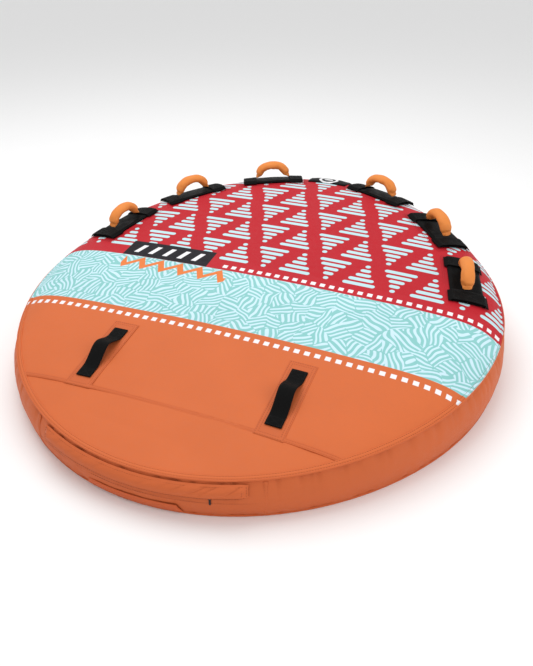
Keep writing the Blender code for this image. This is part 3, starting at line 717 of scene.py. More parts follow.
def own_place(recipe):
    return recipe.add("ShaderNodeTexCoord").outputs["Object"]


# ---------------------------------------------------------------- print on the deck

def rounded_bar(recipe, x, y, half_length, half_height):
    """Mask of one bar with round ends, about the origin."""
    reach = recipe.math("SUBTRACT", recipe.math("ABSOLUTE", x), half_length - half_height)
    return recipe.below(recipe.length(recipe.either(reach, 0.0), y), half_height)


def triangle_mask(recipe, x, y):
    """Rows of triangles built of bars, alternately point down and point up."""
    spread = recipe.math("MULTIPLY_ADD", y, PRINT_SPREAD, 1.0)
    above = recipe.math("SUBTRACT", y, TRIANGLE_BASE)
    row = recipe.math("FLOOR", recipe.math("DIVIDE", above, TRIANGLE_ROW))
    height = recipe.math("SUBTRACT", above, recipe.both(row, TRIANGLE_ROW))
    start = recipe.math("MULTIPLY_ADD", row, TRIANGLE_ROW_SHIFT, TRIANGLE_START)
    place = recipe.math("SUBTRACT", recipe.math("DIVIDE", x, spread), start)
    cells = recipe.math("DIVIDE", place, TRIANGLE_PITCH / 2)
    cell = recipe.math("ROUND", cells)
    across = recipe.both(recipe.math("SUBTRACT", cells, cell), TRIANGLE_PITCH / 2)
    points_up = recipe.math("FLOORED_MODULO", cell, 2.0)
    flipped = recipe.math("SUBTRACT", TRIANGLE_HEIGHT, height)
    swing = recipe.both(recipe.math("SUBTRACT", height, flipped), points_up)
    from_base = recipe.math("ADD", flipped, swing)
    mask = 0.0
    for number, half_length in enumerate(TRIANGLE_BARS):
        lift = recipe.math("SUBTRACT", from_base, TRIANGLE_BAR_START + TRIANGLE_BAR_PITCH * number)
        bar = rounded_bar(recipe, across, lift, half_length, TRIANGLE_BAR_WIDTH / 2)
        mask = recipe.either(bar, mask)
    return mask


def square_row_mask(recipe, x, y, line):
    """A row of squares along one line across the deck."""
    across = recipe.both(recipe.off_whole(recipe.math("DIVIDE", x, SQUARE_PITCH)), SQUARE_PITCH)
    return recipe.below(recipe.either(across, recipe.apart(y, line)), SQUARE_SIZE / 2)


def maze_mask(recipe, place):
    """Short strokes that run together in patches, each patch at its own slant."""
    swirl = recipe.add("ShaderNodeTexNoise", {"Vector": place, "Scale": 20.0, "Detail": 0.0})
    centred = recipe.vector("SUBTRACT", {0: swirl.outputs["Color"], 1: (0.5, 0.5, 0.5)})
    drift = recipe.vector("SCALE", {0: centred, "Scale": MAZE_DRIFT})
    spot = recipe.vector("ADD", {0: place, 1: drift})
    cells = {"Vector": spot, "Scale": MAZE_CELLS}
    patch = recipe.add("ShaderNodeTexVoronoi", cells, voronoi_dimensions="2D")
    edge = recipe.add("ShaderNodeTexVoronoi", cells, voronoi_dimensions="2D",
                      feature="DISTANCE_TO_EDGE")
    slant = recipe.both(recipe.split(patch.outputs["Color"])[0], 2 * pi)
    x, y = recipe.split(spot)
    run = recipe.math("ADD", recipe.both(x, recipe.math("COSINE", slant)),
                      recipe.both(y, recipe.math("SINE", slant)))
    off = recipe.off_whole(recipe.math("DIVIDE", run, MAZE_PITCH))
    gap = recipe.remap(recipe.noise(place, 24.0, 0.0), 0.44, 0.48, -0.10, 0.02)
    round_end = MAZE_STROKE * MAZE_PITCH * MAZE_CELLS
    clear = recipe.math("SUBTRACT", edge.outputs["Distance"], gap)
    short = recipe.either(recipe.math("SUBTRACT", round_end, clear), 0.0)
    past = recipe.both(short, MAZE_STROKE / round_end)
    return recipe.below(recipe.length(off, past), MAZE_STROKE, 0.05)


def inside_box(recipe, x, y, middle, size):
    in_width = recipe.below(recipe.apart(x, middle[0]), size[0] / 2)
    return recipe.both(in_width, recipe.below(recipe.apart(y, middle[1]), size[1] / 2))


def badge_bars_mask(recipe, x, y):
    """Five plain slanted bars inside the black badge."""
    lean = recipe.math("MULTIPLY_ADD", y, -0.35, x)
    cells = recipe.math("DIVIDE", recipe.math("SUBTRACT", lean, BADGE_MIDDLE[0]), 0.052)
    bars = recipe.below(recipe.off_whole(cells), 0.16, 0.012)
    return recipe.both(bars, inside_box(recipe, x, y, BADGE_MIDDLE, BADGE_BARS_SIZE))


def zigzag_mask(recipe, x, y):
    """A plain bold zigzag under the badge."""
    height = 0.62 * ZIGZAG_SIZE[1]
    lean = recipe.math("MULTIPLY_ADD", y, -0.3, x)
    climb = recipe.both(recipe.math("PINGPONG", lean, ZIGZAG_RUN), height / ZIGZAG_RUN)
    line = recipe.math("ADD", climb, ZIGZAG_MIDDLE[1] - height / 2)
    near = recipe.below(recipe.apart(y, line), ZIGZAG_STROKE)
    return recipe.both(near, inside_box(recipe, x, y, ZIGZAG_MIDDLE, ZIGZAG_SIZE))


def add_printed_cloth(woven):
    """The deck's print, laid colour over colour: red field, teal field, badge and orange rear."""
    recipe, shader = new_finish("printed cloth")
    place = cloth_place(recipe)
    x, y = recipe.split(place)
    white = dye(232, 231, 234)
    colour = recipe.blend(triangle_mask(recipe, x, y), dye(180, 26, 38), dye(184, 218, 224))
    colour = recipe.blend(recipe.below(y, TRIANGLE_BASE), colour, dye(182, 30, 42))
    right_of_badge = recipe.below(recipe.both(x, -1.0), 0.1345)
    squares = recipe.both(square_row_mask(recipe, x, y, FRONT_SQUARES), right_of_badge)
    teal = recipe.blend(maze_mask(recipe, place), dye(134, 193, 191), dye(196, 224, 234))
    for mask, ink in (
            (squares, white),
            (recipe.below(y, TEAL_FRONT), teal),
            (inside_box(recipe, x, y, BADGE_MIDDLE, BADGE_SIZE), dye(20, 18, 26)),
            (badge_bars_mask(recipe, x, y), white),
            (zigzag_mask(recipe, x, y), dye(222, 122, 62)),
            (recipe.below(y, TEAL_REAR), dye(204, 103, 55)),
            (square_row_mask(recipe, x, y, REAR_SQUARES), white)):
        colour = recipe.blend(mask, colour, ink)
    dress_cloth(recipe, shader, woven, place, colour, 0.22, WEAVE_THREAD)


def dress_cloth(recipe, shader, woven, place, colour, unevenness, thread):
    effect = recipe.use(woven, {"Place": place, "Dye": colour, "Thread": thread,
                                "Unevenness": unevenness})
    dress(recipe, shader, effect, CLOTH_BUMP, CLOTH_GLOSS)


def add_cloth(name, woven, colour, unevenness=0.22, thread=WEAVE_THREAD, by_cloth=True):
    recipe, shader = new_finish(name)
    place = cloth_place(recipe) if by_cloth else own_place(recipe)
    dress_cloth(recipe, shader, woven, place, colour, unevenness, thread)


def add_webbing(name, ribbed, colour, rub, depth=0.0006):
    recipe, shader = new_finish(name)
    effect = recipe.use(ribbed, {"Place": cloth_place(recipe), "Dye": colour, "Rub": rub})
    dress(recipe, shader, effect, depth, 0.08)


def add_grained(name, grain, base, dust, size, depth, specular=0.4):
    recipe, shader = new_finish(name)
    effect = recipe.use(grain, {"Place": own_place(recipe), "Base": base, "Dust": dust,
                                "Grain": size})
    dress(recipe, shader, effect, depth, specular)


def add_tow_emblem(grain):
    """Black patch cloth with a plain white ring and bar printed on its top face."""
    recipe, shader = new_finish("tow patch cloth")
    x, y = recipe.split(cloth_place(recipe))
    up = recipe.math("SUBTRACT", y, EMBLEM_MIDDLE)
    flat = recipe.both(up, 1.4)
    ring = recipe.below(recipe.apart(recipe.length(x, flat), EMBLEM_RADIUS), 0.006)
    bar = rounded_bar(recipe, x, up, 0.020, 0.007)
    base = recipe.blend(recipe.either(ring, bar), dye(14, 13, 14), dye(232, 232, 234))
    effect = recipe.use(grain, {"Place": own_place(recipe), "Base": base,
                                "Dust": dye(40, 39, 38), "Grain": 900.0})
    dress(recipe, shader, effect, 0.0002, 0.08)


def add_finishes():
    woven = woven_cloth_group()
    ribbed = ribbed_webbing_group()
    grain = fine_grain_group()
    add_printed_cloth(woven)
    add_cloth("orange cloth", woven, dye(197, 97, 52))
    add_cloth("patch cloth", woven, dye(200, 94, 50))
    add_cloth("tape cloth", woven, dye(196, 92, 48), by_cloth=False)
    add_cloth("grip cloth", woven, dye(222, 134, 64), 0.4, 0.00045)
    # The orange and red threads are dyed darker than the cloth they sew: painted shade along the
    # stitch holes of each seam.
    for name, colour in (("orange", dye(150, 66, 34)), ("red", dye(128, 22, 32)),
                         ("black", dye(40, 38, 38))):
        add_cloth(name + " thread", woven, colour, 0.2, FINE_THREAD, False)
    add_webbing("black webbing", ribbed, dye(8, 8, 8), dye(28, 27, 27))
    add_grained("knuckle pad rubber", grain, dye(7, 7, 7), dye(16, 15, 15), 1400.0, 0.0003, 0.05)
    add_grained("moulded black", grain, dye(17, 17, 18), dye(46, 45, 44), 2200.0, 0.0001, 0.3)
    add_grained("moulded grey", grain, dye(120, 122, 124), dye(150, 150, 150), 2200.0, 0.0001)
    add_grained("bladder vinyl", grain, dye(196, 200, 206), dye(160, 160, 158), 300.0, 0.0002)
    add_grained("zip teeth", grain, dye(24, 24, 25), dye(50, 50, 50), 3000.0, 0.00005)
    add_tow_emblem(grain)


# ---------------------------------------------------------------- cover

def deck_relief(bearing, path, point):
    """Soft lumps all over, and small pinches where the ring seam gathers the cloth."""
    soft = 0.0018 * lumps(point, 2.6, 1.0) + 0.0005 * lumps(point, 9.0, 4.0)
    slack = ease((REAR_PANEL_LINE + 0.25 - point.y) / 0.30)
    drag = Vector((point.x * 3.2 + point.y * 2.0, point.y * 9.0 - point.x * 1.5, 5.0))
    soft += slack * (0.0014 * noise.noise(drag) - 0.0016 * (1 - abs(noise.noise(drag * 0.8))) ** 6)
    inboard = (1 - path) * outline_radius(bearing) * rim_stretch(bearing)
    pinch = crease(bearing * outline_radius(bearing), 26.0, 2.0) * 0.0013
    return soft * ease((1 - path) * 12) - pinch * fade(inboard, 0.022)


def deck_rows():
    """Rows over the whole deck, from its middle outwards."""
    edge = 1 - SEAM_TUCK / (DECK_WIDTH / 2)
    paths = [edge * (1 - (1 - share) ** 1.6) for share in shares(DECK_ROWS + 1)]
    columns = []
    for bearing in rim_bearings(DECK_COLUMNS):
        points = [skin_point(bearing, path) for path in paths]
        column = []
        for path, point, reach in zip(paths, points, running_lengths(points)):
            lift = deck_normal(point.x, point.y) * deck_relief(bearing, path, point)
            column.append((point + lift, (reach * sin(bearing), reach * cos(bearing))))
        columns.append(column)
    return list(zip(*columns))


def keep_one_side(piece, line, front):
    """Cuts the piece straight across at y = line and keeps its front or rear part."""
    with opened(piece.data) as surface:
        everything = surface.verts[:] + surface.edges[:] + surface.faces[:]
        bmesh.ops.bisect_plane(surface, geom=everything, plane_co=(0, line, 0),
                               plane_no=(0, 1, 0), clear_inner=front, clear_outer=not front)


def add_deck():
    rows = deck_rows()
    for name, node, slot, front in (
            ("deck_cloth", "top_panel", "printed_nylon", True),
            ("rear_deck_cloth", "rear_top_panel", "orange_nylon", False)):
        piece = grid_piece(name, rows, "printed cloth")
        keep_one_side(piece, REAR_PANEL_LINE, front)
        thicken(piece, CLOTH_THICKNESS)
        settle(piece, slot, node)
        declare_stretched(piece)


def seam_profile(width, height):
    """A felled seam's cut across: raised between its two stitch grooves, thin at its edges."""
    tops = [(0.0, 0.35), (0.06, 0.9), (0.16, 1.0), (0.24, 0.55), (0.32, 1.0), (0.5, 1.1),
            (0.68, 1.0), (0.76, 0.55), (0.84, 1.0), (0.94, 0.9), (1.0, 0.35)]
    points = [(share * width, lift * height) for share, lift in tops]
    return points + [(width, -height / 2), (0.0, -height / 2)]


def hem_run(inboard):
    """A stitch run round the deck, a short way inboard of the ring seam."""
    run = []
    for bearing in rim_bearings():
        up = skin_normal(bearing, inboard_path(bearing, HEM_WIDTH / 2))
        place = skin_point(bearing, inboard_path(bearing, inboard))
        run.append((place + up * HEM_HEIGHT * 0.75, up))
    return run


def add_ring_hem():
    """The double-stitched fold of deck cloth along the inside of the ring seam."""
    rows = []
    profile = seam_profile(HEM_WIDTH, HEM_HEIGHT)
    for bearing in rim_bearings():
        total = running_lengths([skin_point(bearing, share) for share in shares(60)])[-1]
        normal = skin_normal(bearing, inboard_path(bearing, HEM_WIDTH / 2))
        row = []
        for inboard, lift in profile + profile[:1]:
            place = skin_point(bearing, inboard_path(bearing, inboard)) + normal * lift
            reach = total - inboard
            row.append((place, (reach * sin(bearing), reach * cos(bearing))))
        rows.append(row)
    settle(grid_piece("ring_hem", rows, "printed cloth", closed=True), "printed_nylon")
    runs = [hem_run(share * HEM_WIDTH) for share in SEAM_STITCH_SHARES]
    sew("ring_seam_stitches", runs, "orange thread", "orange_nylon")


def add_welt(name, node, path, lift):
    """The soft cord ridge where two panels of the cover meet."""
    rings = []
    for bearing in rim_bearings()[:-1]:
        centre = skin_point(bearing, path) + Vector((0, 0, lift))
        out = Vector((sin(bearing), cos(bearing), 0.0))
        radius = WELT_RADIUS * (1 + 0.08 * lumps(centre, 40.0, 7.0))
        turns = [2 * pi * index / 10 for index in range(10)]
        rings.append([centre + (out * cos(turn) + Vector((0, 0, sin(turn)))) * radius
                      for turn in turns])
    settle(loft(name, rings, "orange cloth", looped=True), "orange_nylon", node)


def band_heights(bearing):
    """Heights of the band's rows: seam, down to the zip's slot, through it and to the floor."""
    seam = seam_height(rim_y(bearing)) - SEAM_TUCK
    slot_top = ZIP_HEIGHT + ZIP_SLOT_HEIGHT / 2
    slot_bottom = ZIP_HEIGHT - ZIP_SLOT_HEIGHT / 2
    upper = [mix(seam, slot_top, share) for share in shares(27)]
    middle = [mix(slot_top, slot_bottom, share) for share in shares(4)]
    lower = [mix(slot_bottom, 0.004, share) for share in shares(17)]
    return upper + middle[1:] + lower[1:]


def groove(distance, width, depth):
    """A narrow stitched-down line, as a negative height."""
    return -depth * fade(distance ** 2, width ** 2)


def band_relief(bearing, height, arc):
    """Gathers under the ring seam and over the floor seam, soft fullness and seam lines."""
    seam = seam_height(rim_y(bearing))
    pinch = crease(arc, 26.0, 5.0) * 0.0078 * fade(seam - height, 0.026)
    pull = crease(arc, 19.0, 9.0) * 0.0036 * fade(height, 0.022)
    full = 0.0040 * lumps(Vector((arc, height * 2, 0.0)), 3.2, 2.0)
    slack = 0.0020 * lumps(Vector((arc, height * 0.5, 0.0)), 14.0, 3.0)
    level = height / seam
    middle = ease(4 * level) * ease(4 * (1 - level))
    relief = (full + slack) * middle - pinch - pull
    for seam_bearing in BAND_SEAM_BEARINGS:
        off = (bearing - radians(seam_bearing % 360)) * outline_radius(bearing)
        relief += groove(off, 0.004, 0.0010) * middle
    return relief


def band_spot(bearing, height, lift):
    return on_skin(bearing, band_path(rim_y(bearing), height), lift)


def add_side_band():
    bearings = rim_bearings()
    arcs = running_lengths([skin_point(bearing, 1.5) for bearing in bearings])
    columns = []
    for bearing, arc in zip(bearings, arcs):
        wave = arc if bearing < 2 * pi - TINY else 0.0
        column = []
        for height in band_heights(bearing):
            place, _ = band_spot(bearing, height, band_relief(bearing, height, wave))
            column.append((place, (arc, height)))
        columns.append(column)
    band = grid_piece("side_cloth", list(zip(*columns)), "orange cloth")
    open_zip_slot(band)
    thicken(band, CLOTH_THICKNESS)
    settle(band, "orange_nylon", "side_band")
    declare_stretched(band)


def in_zip_slot(face):
    middle = face.calc_center_median()
    off = abs(middle.z - ZIP_HEIGHT)
    return abs(middle.x) < ZIP_REACH and middle.y < 0 and off < ZIP_SLOT_HEIGHT / 2


def open_zip_slot(band):
    with opened(band.data) as surface:
        inside = [face for face in surface.faces if in_zip_slot(face)]
        bmesh.ops.delete(surface, geom=inside, context="FACES")


def bottom_spot(bearing, path):
    point = skin_point(bearing, path)
    pucker = fade(path - 2, 0.05) * crease(bearing * 0.75, 24.0, 11.0) * ease((path - 2) * 200)
    lift = 0.0004 + 0.0007 * abs(lumps(point, 6.0, 3.0)) + 0.0012 * pucker
    return point + Vector((0, 0, lift)), (point.x, point.y)


def add_bottom():
    """The flat underside, slightly puckered towards its edge."""
    paths = [mix(2.001, 3.0, 1 - (1 - share) ** 0.8) for share in shares(40)]
    rows = [[bottom_spot(bearing, path) for bearing in rim_bearings(DECK_COLUMNS)]
            for path in paths]
    bottom = grid_piece("bottom_cloth", rows, "orange cloth")
    thicken(bottom, CLOTH_THICKNESS)
    settle(bottom, "orange_nylon", "bottom_panel")
    declare_stretched(bottom)


def deck_seam_reach():
    """Half width of the deck at the line where its rear panel is joined."""
    bearing = pi
    for _ in range(30):
        radius = outline_radius(bearing) - SEAM_INSET
        bearing = pi - asin(sqrt(max(0.0, 1 - (REAR_PANEL_LINE / radius) ** 2)))
    return (outline_radius(bearing) - SEAM_INSET) * sin(bearing) - 0.75 * HEM_WIDTH


def add_rear_panel_seam():
    """The double-stitched felled seam across the deck's rear."""
    reach = deck_seam_reach()
    rear = REAR_PANEL_LINE - PANEL_SEAM_WIDTH / 2
    profile = seam_profile(PANEL_SEAM_WIDTH, PANEL_SEAM_HEIGHT)
    places = [mix(-reach, reach, share) for share in shares(160)]
    rings = [[above_deck(x, rear + across, lift) for across, lift in profile] for x in places]
    settle(loft("rear_panel_seam", rings, "orange cloth"), "orange_nylon")
    runs = []
    for share in SEAM_STITCH_SHARES:
        y = rear + share * PANEL_SEAM_WIDTH
        runs.append([(above_deck(x, y, PANEL_SEAM_HEIGHT / 2), deck_normal(x, y)) for x in places])
    sew("rear_panel_stitches", runs, "orange thread", "orange_nylon")


def add_band_seams():
    """Upright joins of the side band beside the zip, and the stitched line under the flap."""
    runs = []
    profile = seam_profile(BAND_SEAM_WIDTH, BAND_SEAM_HEIGHT)
    for side, angle in zip(("left", "right"), BAND_SEAM_BEARINGS):
        bearing = radians(angle)
        radius = outline_radius(bearing)
        top = seam_height(rim_y(bearing)) - 0.0045
        heights = [mix(0.0075, top, share) for share in shares(30)]
        rings = [[band_spot(bearing + (across - BAND_SEAM_WIDTH / 2) / radius, height, lift)[0]
                  for across, lift in profile] for height in heights]
        settle(loft(side + "_band_seam", rings, "orange cloth"), "orange_nylon")
        for share in BAND_SEAM_STITCHES:
            turn = share * BAND_SEAM_WIDTH / radius
            runs.append([band_spot(bearing + turn, height, 0.0007) for height in heights])
    reach = radians(180 - abs(BAND_SEAM_BEARINGS[0]))
    runs.append([band_spot(mix(pi - reach, pi + reach, share), PLACKET_LINE, 0.0012)
                 for share in shares(90)])
    sew("band_stitches", runs, "orange thread", "orange_nylon")


# ---------------------------------------------------------------- grips

def grip_frame(bearing):
    """Plan frame of one grip: X along the rim, Y towards the rim, origin under its middle."""
    radius = outline_radius(bearing) - GRIP_INSET
    ahead = skin_point(bearing + STEP, 1.0) - skin_point(bearing - STEP, 1.0)
    out = Vector((-ahead.y, ahead.x, 0.0)).normalized()
    place = Vector((radius * sin(bearing), radius * cos(bearing), 0.0))
    return Matrix(((out.y, out.x, 0, place.x), (-out.x, out.y, 0, place.y),
                   (0, 0, 1, 0), (0, 0, 0, 1)))


def grip_hinge(plan):
    """Frame on top of the pad: X along the line through both feet, Z square to the deck."""
    place = plan.translation
    up = deck_normal(place.x, place.y)
    along = plan.to_3x3() @ Vector((1, 0, 0))
    along = (along - up * along.dot(up)).normalized()
    out = up.cross(along)
    origin = above_deck(place.x, place.y, PAD_TOP)
    return Matrix(((along.x, out.x, up.x, origin.x), (along.y, out.y, up.y, origin.y),
                   (along.z, out.z, up.z, origin.z), (0, 0, 0, 1)))


def add_pad(name, plan):
    """Knuckle pad: foam with rolled edges, dished along its middle."""
    section = strap_section(PAD_WIDTH, PAD_THICKNESS, 44, 5)

    def lift(along, across):
        rolled = 0.0016 * ease((abs(across) - 0.026) / 0.014) * ease((0.047 - abs(across)) / 0.006)
        lump = 0.0004 * wander(along * 40, across * 40, plan.translation.x)
        return PAD_LIFT + PAD_THICKNESS / 2 - 0.0010 + rolled + lump
    pad = laid_piece(name + "_knuckle_pad", "knuckle pad rubber", plan, PAD_LENGTH, section, lift,
                     48, 0.004)
    settle(pad, "black_neoprene", name + "_pad")


def bar_lift(across_deck):
    """Height of a webbing bar's middle above the deck: over the pad, then down past its edge."""
    past = ease((abs(across_deck) - PAD_WIDTH / 2 + 0.004) / 0.009)
    return mix(BAR_LIFT, BAR_END_LIFT, past) + BAR_THICKNESS / 2


def add_bar(name, plan, offset):
    """Webbing sewn over one end of the pad; returns its crossed and outer boxes of stitches."""
    place = plan @ Matrix.Translation((offset, 0, 0)) @ Matrix.Rotation(pi / 2, 4, "Z")
    side = name + ("_left" if offset < 0 else "_right")
    lean = copysign(0.0007, -offset)

    def lift(along, across):
        ripple = 0.0005 * wander(along * 60, across * 30, offset * 9)
        return bar_lift(along) + ripple + lean * across / BAR_WIDTH
    bar = laid_piece(side + "_webbing", "black webbing", place, BAR_LENGTH,
                     strap_section(BAR_WIDTH, BAR_THICKNESS), lift, 40)
    settle(bar, "black_webbing", side + "_bar")
    boxes = crossed_box(*BAR_BOX)
    boxes.append(box_corners(*BAR_OUTER_BOX))
    return [deck_run(place, corners, bar_top) for corners in boxes]


def bar_top(along):
    return bar_lift(along) + BAR_THICKNESS / 2


def deck_run(place, corners, lift):
    """A stitch run through corners in a frame on the deck, at lift(along) above the deck."""
    run = []
    for first, last in zip(corners, corners[1:]):
        length = hypot(last[0] - first[0], last[1] - first[1])
        for share in shares(max(2, int(length / 0.004))):
            along = mix(first[0], last[0], share)
            spot = place @ Vector((along, mix(first[1], last[1], share), 0.0))
            run.append((above_deck(spot.x, spot.y, lift(along)), deck_normal(spot.x, spot.y)))
    return run


def add_pad_outline(plan, outline_runs):
    """Two stitch lines through the deck round a pad's backing."""
    for margin in BACKING_MARGINS:
        x = PAD_LENGTH / 2 + margin
        y = PAD_WIDTH / 2 + margin
        corners = [(x, 0.0), (x, -y), (-x, -y), (-x, 0.0)]
        outline_runs.append(deck_run(plan, corners, lambda along: 0.0004))


def sleeve_middle(share, skew):
    """A point on the sleeve's middle line in the hinge frame, from foot to foot."""
    turn = pi * share
    across = -signed_power(cos(turn), 2 / GRIP_SQUARENESS)
    rise = signed_power(sin(turn), 2 / GRIP_SQUARENESS)
    foot = ease((0.10 - min(share, 1 - share)) / 0.10)
    x = across * mix(GRIP_HALF_SPAN, SLEEVE_FOOT_REACH, foot) + skew * rise * 0.006
    return Vector((x, 0.0, SLEEVE_FOOT_LIFT + rise * (GRIP_RISE - SLEEVE_FOOT_LIFT)))


def sleeve_spot(share, turn, seed, foot):
    """Sideways and outward place of a point round the sleeve, creased inside its bend."""
    up = sin(turn)
    along = share * 9.0
    fold = wander(along * 1.6, cos(turn) * 0.8 + seed * 3.1, up)
    tuck = (1 - abs(fold)) ** 4 * 0.0036 * max(0.0, -up) * foot
    puff = 0.0014 * wander(along, cos(turn) * 1.4, up * 1.4 + seed) * foot
    width = mix(SLEEVE_FOOT_WIDTH, SLEEVE_HALF_WIDTH, foot)
    depth = mix(SLEEVE_FOOT_DEPTH, SLEEVE_HALF_DEPTH, foot)
    return (width + puff) * cos(turn), up * (depth + puff) + tuck


def sleeve_rings(seed):
    """Oval padded tube, pinched flat at its feet."""
    skew = wander(seed, 4.4, 0.2) * 1.5
    middles = [sleeve_middle(mix(0.012, 0.988, share), skew) for share in shares(SLEEVE_RINGS)]
    turns = [2 * pi * step / SLEEVE_CORNERS for step in range(SLEEVE_CORNERS)]
    rings = []
    for index, middle in enumerate(middles):
        before = middles[max(0, index - 1)]
        after = middles[min(SLEEVE_RINGS - 1, index + 1)]
        ahead = (after - before).normalized()
        share = index / (SLEEVE_RINGS - 1)
        foot = ease(min(share, 1 - share) / 0.13)
        ring = []
        for turn in turns:
            side, out = sleeve_spot(share, turn, seed, foot)
            ring.append(middle + Vector((0, side, 0)) + Vector((-ahead.z, 0.0, ahead.x)) * out)
        rings.append(ring)
    return rings


def settle_as_cloth(piece):
    """Lets a sleeve's skin wrinkle over its filling, moving each corner only a little."""
    pattern = piece.data.copy()
    source = bpy.data.objects.new(piece.name + "_pattern", pattern)
    bpy.context.scene.collection.objects.link(source)
    remesh = piece.modifiers.new("even mesh", "REMESH")
    remesh.mode = "VOXEL"
    remesh.voxel_size = SLEEVE_MESH
    apply_modifiers(piece)
    start = [vertex.co.copy() for vertex in piece.data.vertices]
    sewn = piece.vertex_groups.new(name="sewn")
    sewn.add([v.index for v in piece.data.vertices if v.co.z < SLEEVE_SEWN_HEIGHT], 1.0, "REPLACE")
    cloth = piece.modifiers.new("cloth", "CLOTH").settings
    cloth.vertex_group_mass = "sewn"
    cloth.use_pressure = True
    cloth.uniform_pressure_force = SLEEVE_PRESSURE
    cloth.shrink_min = -0.10
    cloth.bending_stiffness = 0.2
    cloth.effector_weights.gravity = 0.0
    for number in range(1, SLEEVE_FRAMES + 1):
        bpy.context.scene.frame_set(number)
    apply_modifiers(piece)
    bpy.context.scene.frame_set(1)
    for vertex, place in zip(piece.data.vertices, start):
        move = vertex.co - place
        if move.length > SLEEVE_WRINKLE_REACH:
            vertex.co = place + move.normalized() * SLEEVE_WRINKLE_REACH
    piece.data.uv_layers.new(name="cloth")
    places = piece.modifiers.new("cloth places", "DATA_TRANSFER")
    places.object = source
    places.use_loop_data = True
    places.data_types_loops = {"UV"}
    places.loop_mapping = "POLYINTERP_NEAREST"
    finer = piece.modifiers.new("finer", "SUBSURF")
    finer.levels = 1
    apply_modifiers(piece)
    bpy.data.objects.remove(source)


def apply_modifiers(piece):
    bpy.context.view_layer.update()
    shaped = piece.evaluated_get(bpy.context.evaluated_depsgraph_get())
    data = bpy.data.meshes.new_from_object(shaped)
    piece.modifiers.clear()
    piece.data = data


def sleeve_pattern():
    """One padded sleeve in its own upright frame, as cloth over foam."""
    base = loft("sleeve_pattern", sleeve_rings(1.0), "grip cloth")
    settle_as_cloth(base)
    data = base.data
    bpy.data.objects.remove(base)
    return data


def add_sleeve(name, pattern, hinge, turned):
    place = hinge @ Matrix.Rotation(radians(GRIP_LEAN), 4, "X")
    if turned:
        place = place @ Matrix.Rotation(pi, 4, "Z")
    data = pattern.copy()
    data.transform(place)
    data.shade_smooth()
    sleeve = bpy.data.objects.new(name + "_padded_sleeve", data)
    bpy.context.scene.collection.objects.link(sleeve)
    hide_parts(name + "_sleeve", name + "_core")
    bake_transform(sleeve)


def add_grips():
    box_runs = []
    outline_runs = []
    pattern = sleeve_pattern()
    bar_offset = (PAD_LENGTH - BAR_WIDTH) / 2
    for side, sign in (("left", -1), ("right", 1)):
        for row, place in enumerate(("front", "middle", "rear")):
            plan = grip_frame(sign * radians(GRIP_FIRST_BEARING + row * GRIP_PITCH))
            name = place + "_" + side + "_grip"
            add_pad(name, plan)
            for offset in (-bar_offset, bar_offset):
                box_runs.extend(add_bar(name, plan, offset))
            add_sleeve(name, pattern, grip_hinge(plan), (row + sign) % 2 == 0)
            add_pad_outline(plan, outline_runs)
    sew("grip_webbing_stitches", box_runs, "black thread", "black_webbing", *BAR_STITCH)
    sew("grip_backing_stitches", outline_runs, "red thread", "printed_nylon")


# ---------------------------------------------------------------- boarding straps

def strap_height(back):
    """Height of the strap's underside above the deck, a distance back from its front end."""
    free = STRAP_LENGTH - 2 * STRAP_TAB_LENGTH
    share = min(1.0, max(0.0, (back - STRAP_TAB_LENGTH) / free))
    return STRAP_BASE + STRAP_RISE * (1 - cos(2 * pi * share)) / 2


def strap_rings(x):
    """Cuts across one strap, from its front end to its rear end."""
    rings = []
    for share in shares(90):
        back = share * STRAP_LENGTH
        y = STRAP_FRONT - back
        height = strap_height(back)
        slope = (strap_height(back + STEP) - strap_height(back - STEP)) / (2 * STEP)
        deck_slope = (deck_height(x, y + STEP) - deck_height(x, y - STEP)) / (2 * STEP)
        up = Vector((0, slope - deck_slope, 1)).normalized()
        drift = 0.0012 * wander(share * 3, x, 0.7)
        ring = []
        for across, rise in strap_section(STRAP_WIDTH, STRAP_THICKNESS):
            cup = 0.0016 * (2 * across / STRAP_WIDTH) ** 2 * ease(height / 0.02 - 0.3)
            base = Vector((x + across + drift, y, deck_height(x + across, y)))
            base.z += height + STRAP_THICKNESS / 2 - cup
            ring.append(base + up * rise)
        rings.append(ring)
    return rings


def add_boarding_strap(name, x, patch_runs, strap_runs):
    """A raised webbing loop and the patch under it; adds their stitch runs to the lists."""
    middle = STRAP_FRONT - STRAP_LENGTH / 2
    place = Matrix.Translation((x, middle, 0)) @ Matrix.Rotation(pi / 2, 4, "Z")
    section = strap_section(STRAP_PATCH_WIDTH, STRAP_PATCH_THICKNESS, 36, 8)
    patch = laid_piece(name + "_backing", "orange cloth", place, STRAP_PATCH_LENGTH, section,
                       lambda along, across: STRAP_PATCH_THICKNESS, 60)
    settle(patch, "orange_nylon", name + "_patch")
    for inset in STRAP_PATCH_INSETS:
        half_x = STRAP_PATCH_LENGTH / 2 - inset
        half_y = STRAP_PATCH_WIDTH / 2 - inset
        corners = box_corners(-half_x, half_x, -half_y, half_y)
        patch_runs.append(deck_run(place, corners, lambda along: STRAP_PATCH_TOP))
    strap = loft(name + "_webbing", strap_rings(x), "black webbing")
    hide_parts(name + "_front_end", name + "_loop", name + "_rear_end")
    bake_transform(strap)
    half_y = STRAP_WIDTH / 2 - STRAP_STITCH_INSET
    far = STRAP_LENGTH / 2 - STRAP_STITCH_INSET
    near = STRAP_LENGTH / 2 - STRAP_TAB_LENGTH + 0.003
    for end in (-1, 1):
        for corners in crossed_box(end * far, end * near, -half_y, half_y):
            run = deck_run(place, corners, lambda along: STRAP_BASE + STRAP_THICKNESS)
            strap_runs.append(run)


def add_straps():
    patch_runs = []
    strap_runs = []
    for name, x in (("left_strap", -STRAP_OFFSET), ("right_strap", STRAP_OFFSET)):
        add_boarding_strap(name, x, patch_runs, strap_runs)
    sew("strap_backing_stitches", patch_runs, "orange thread", "orange_nylon")
    sew("strap_end_stitches", strap_runs, "black thread", "black_webbing", *STRAP_STITCH)


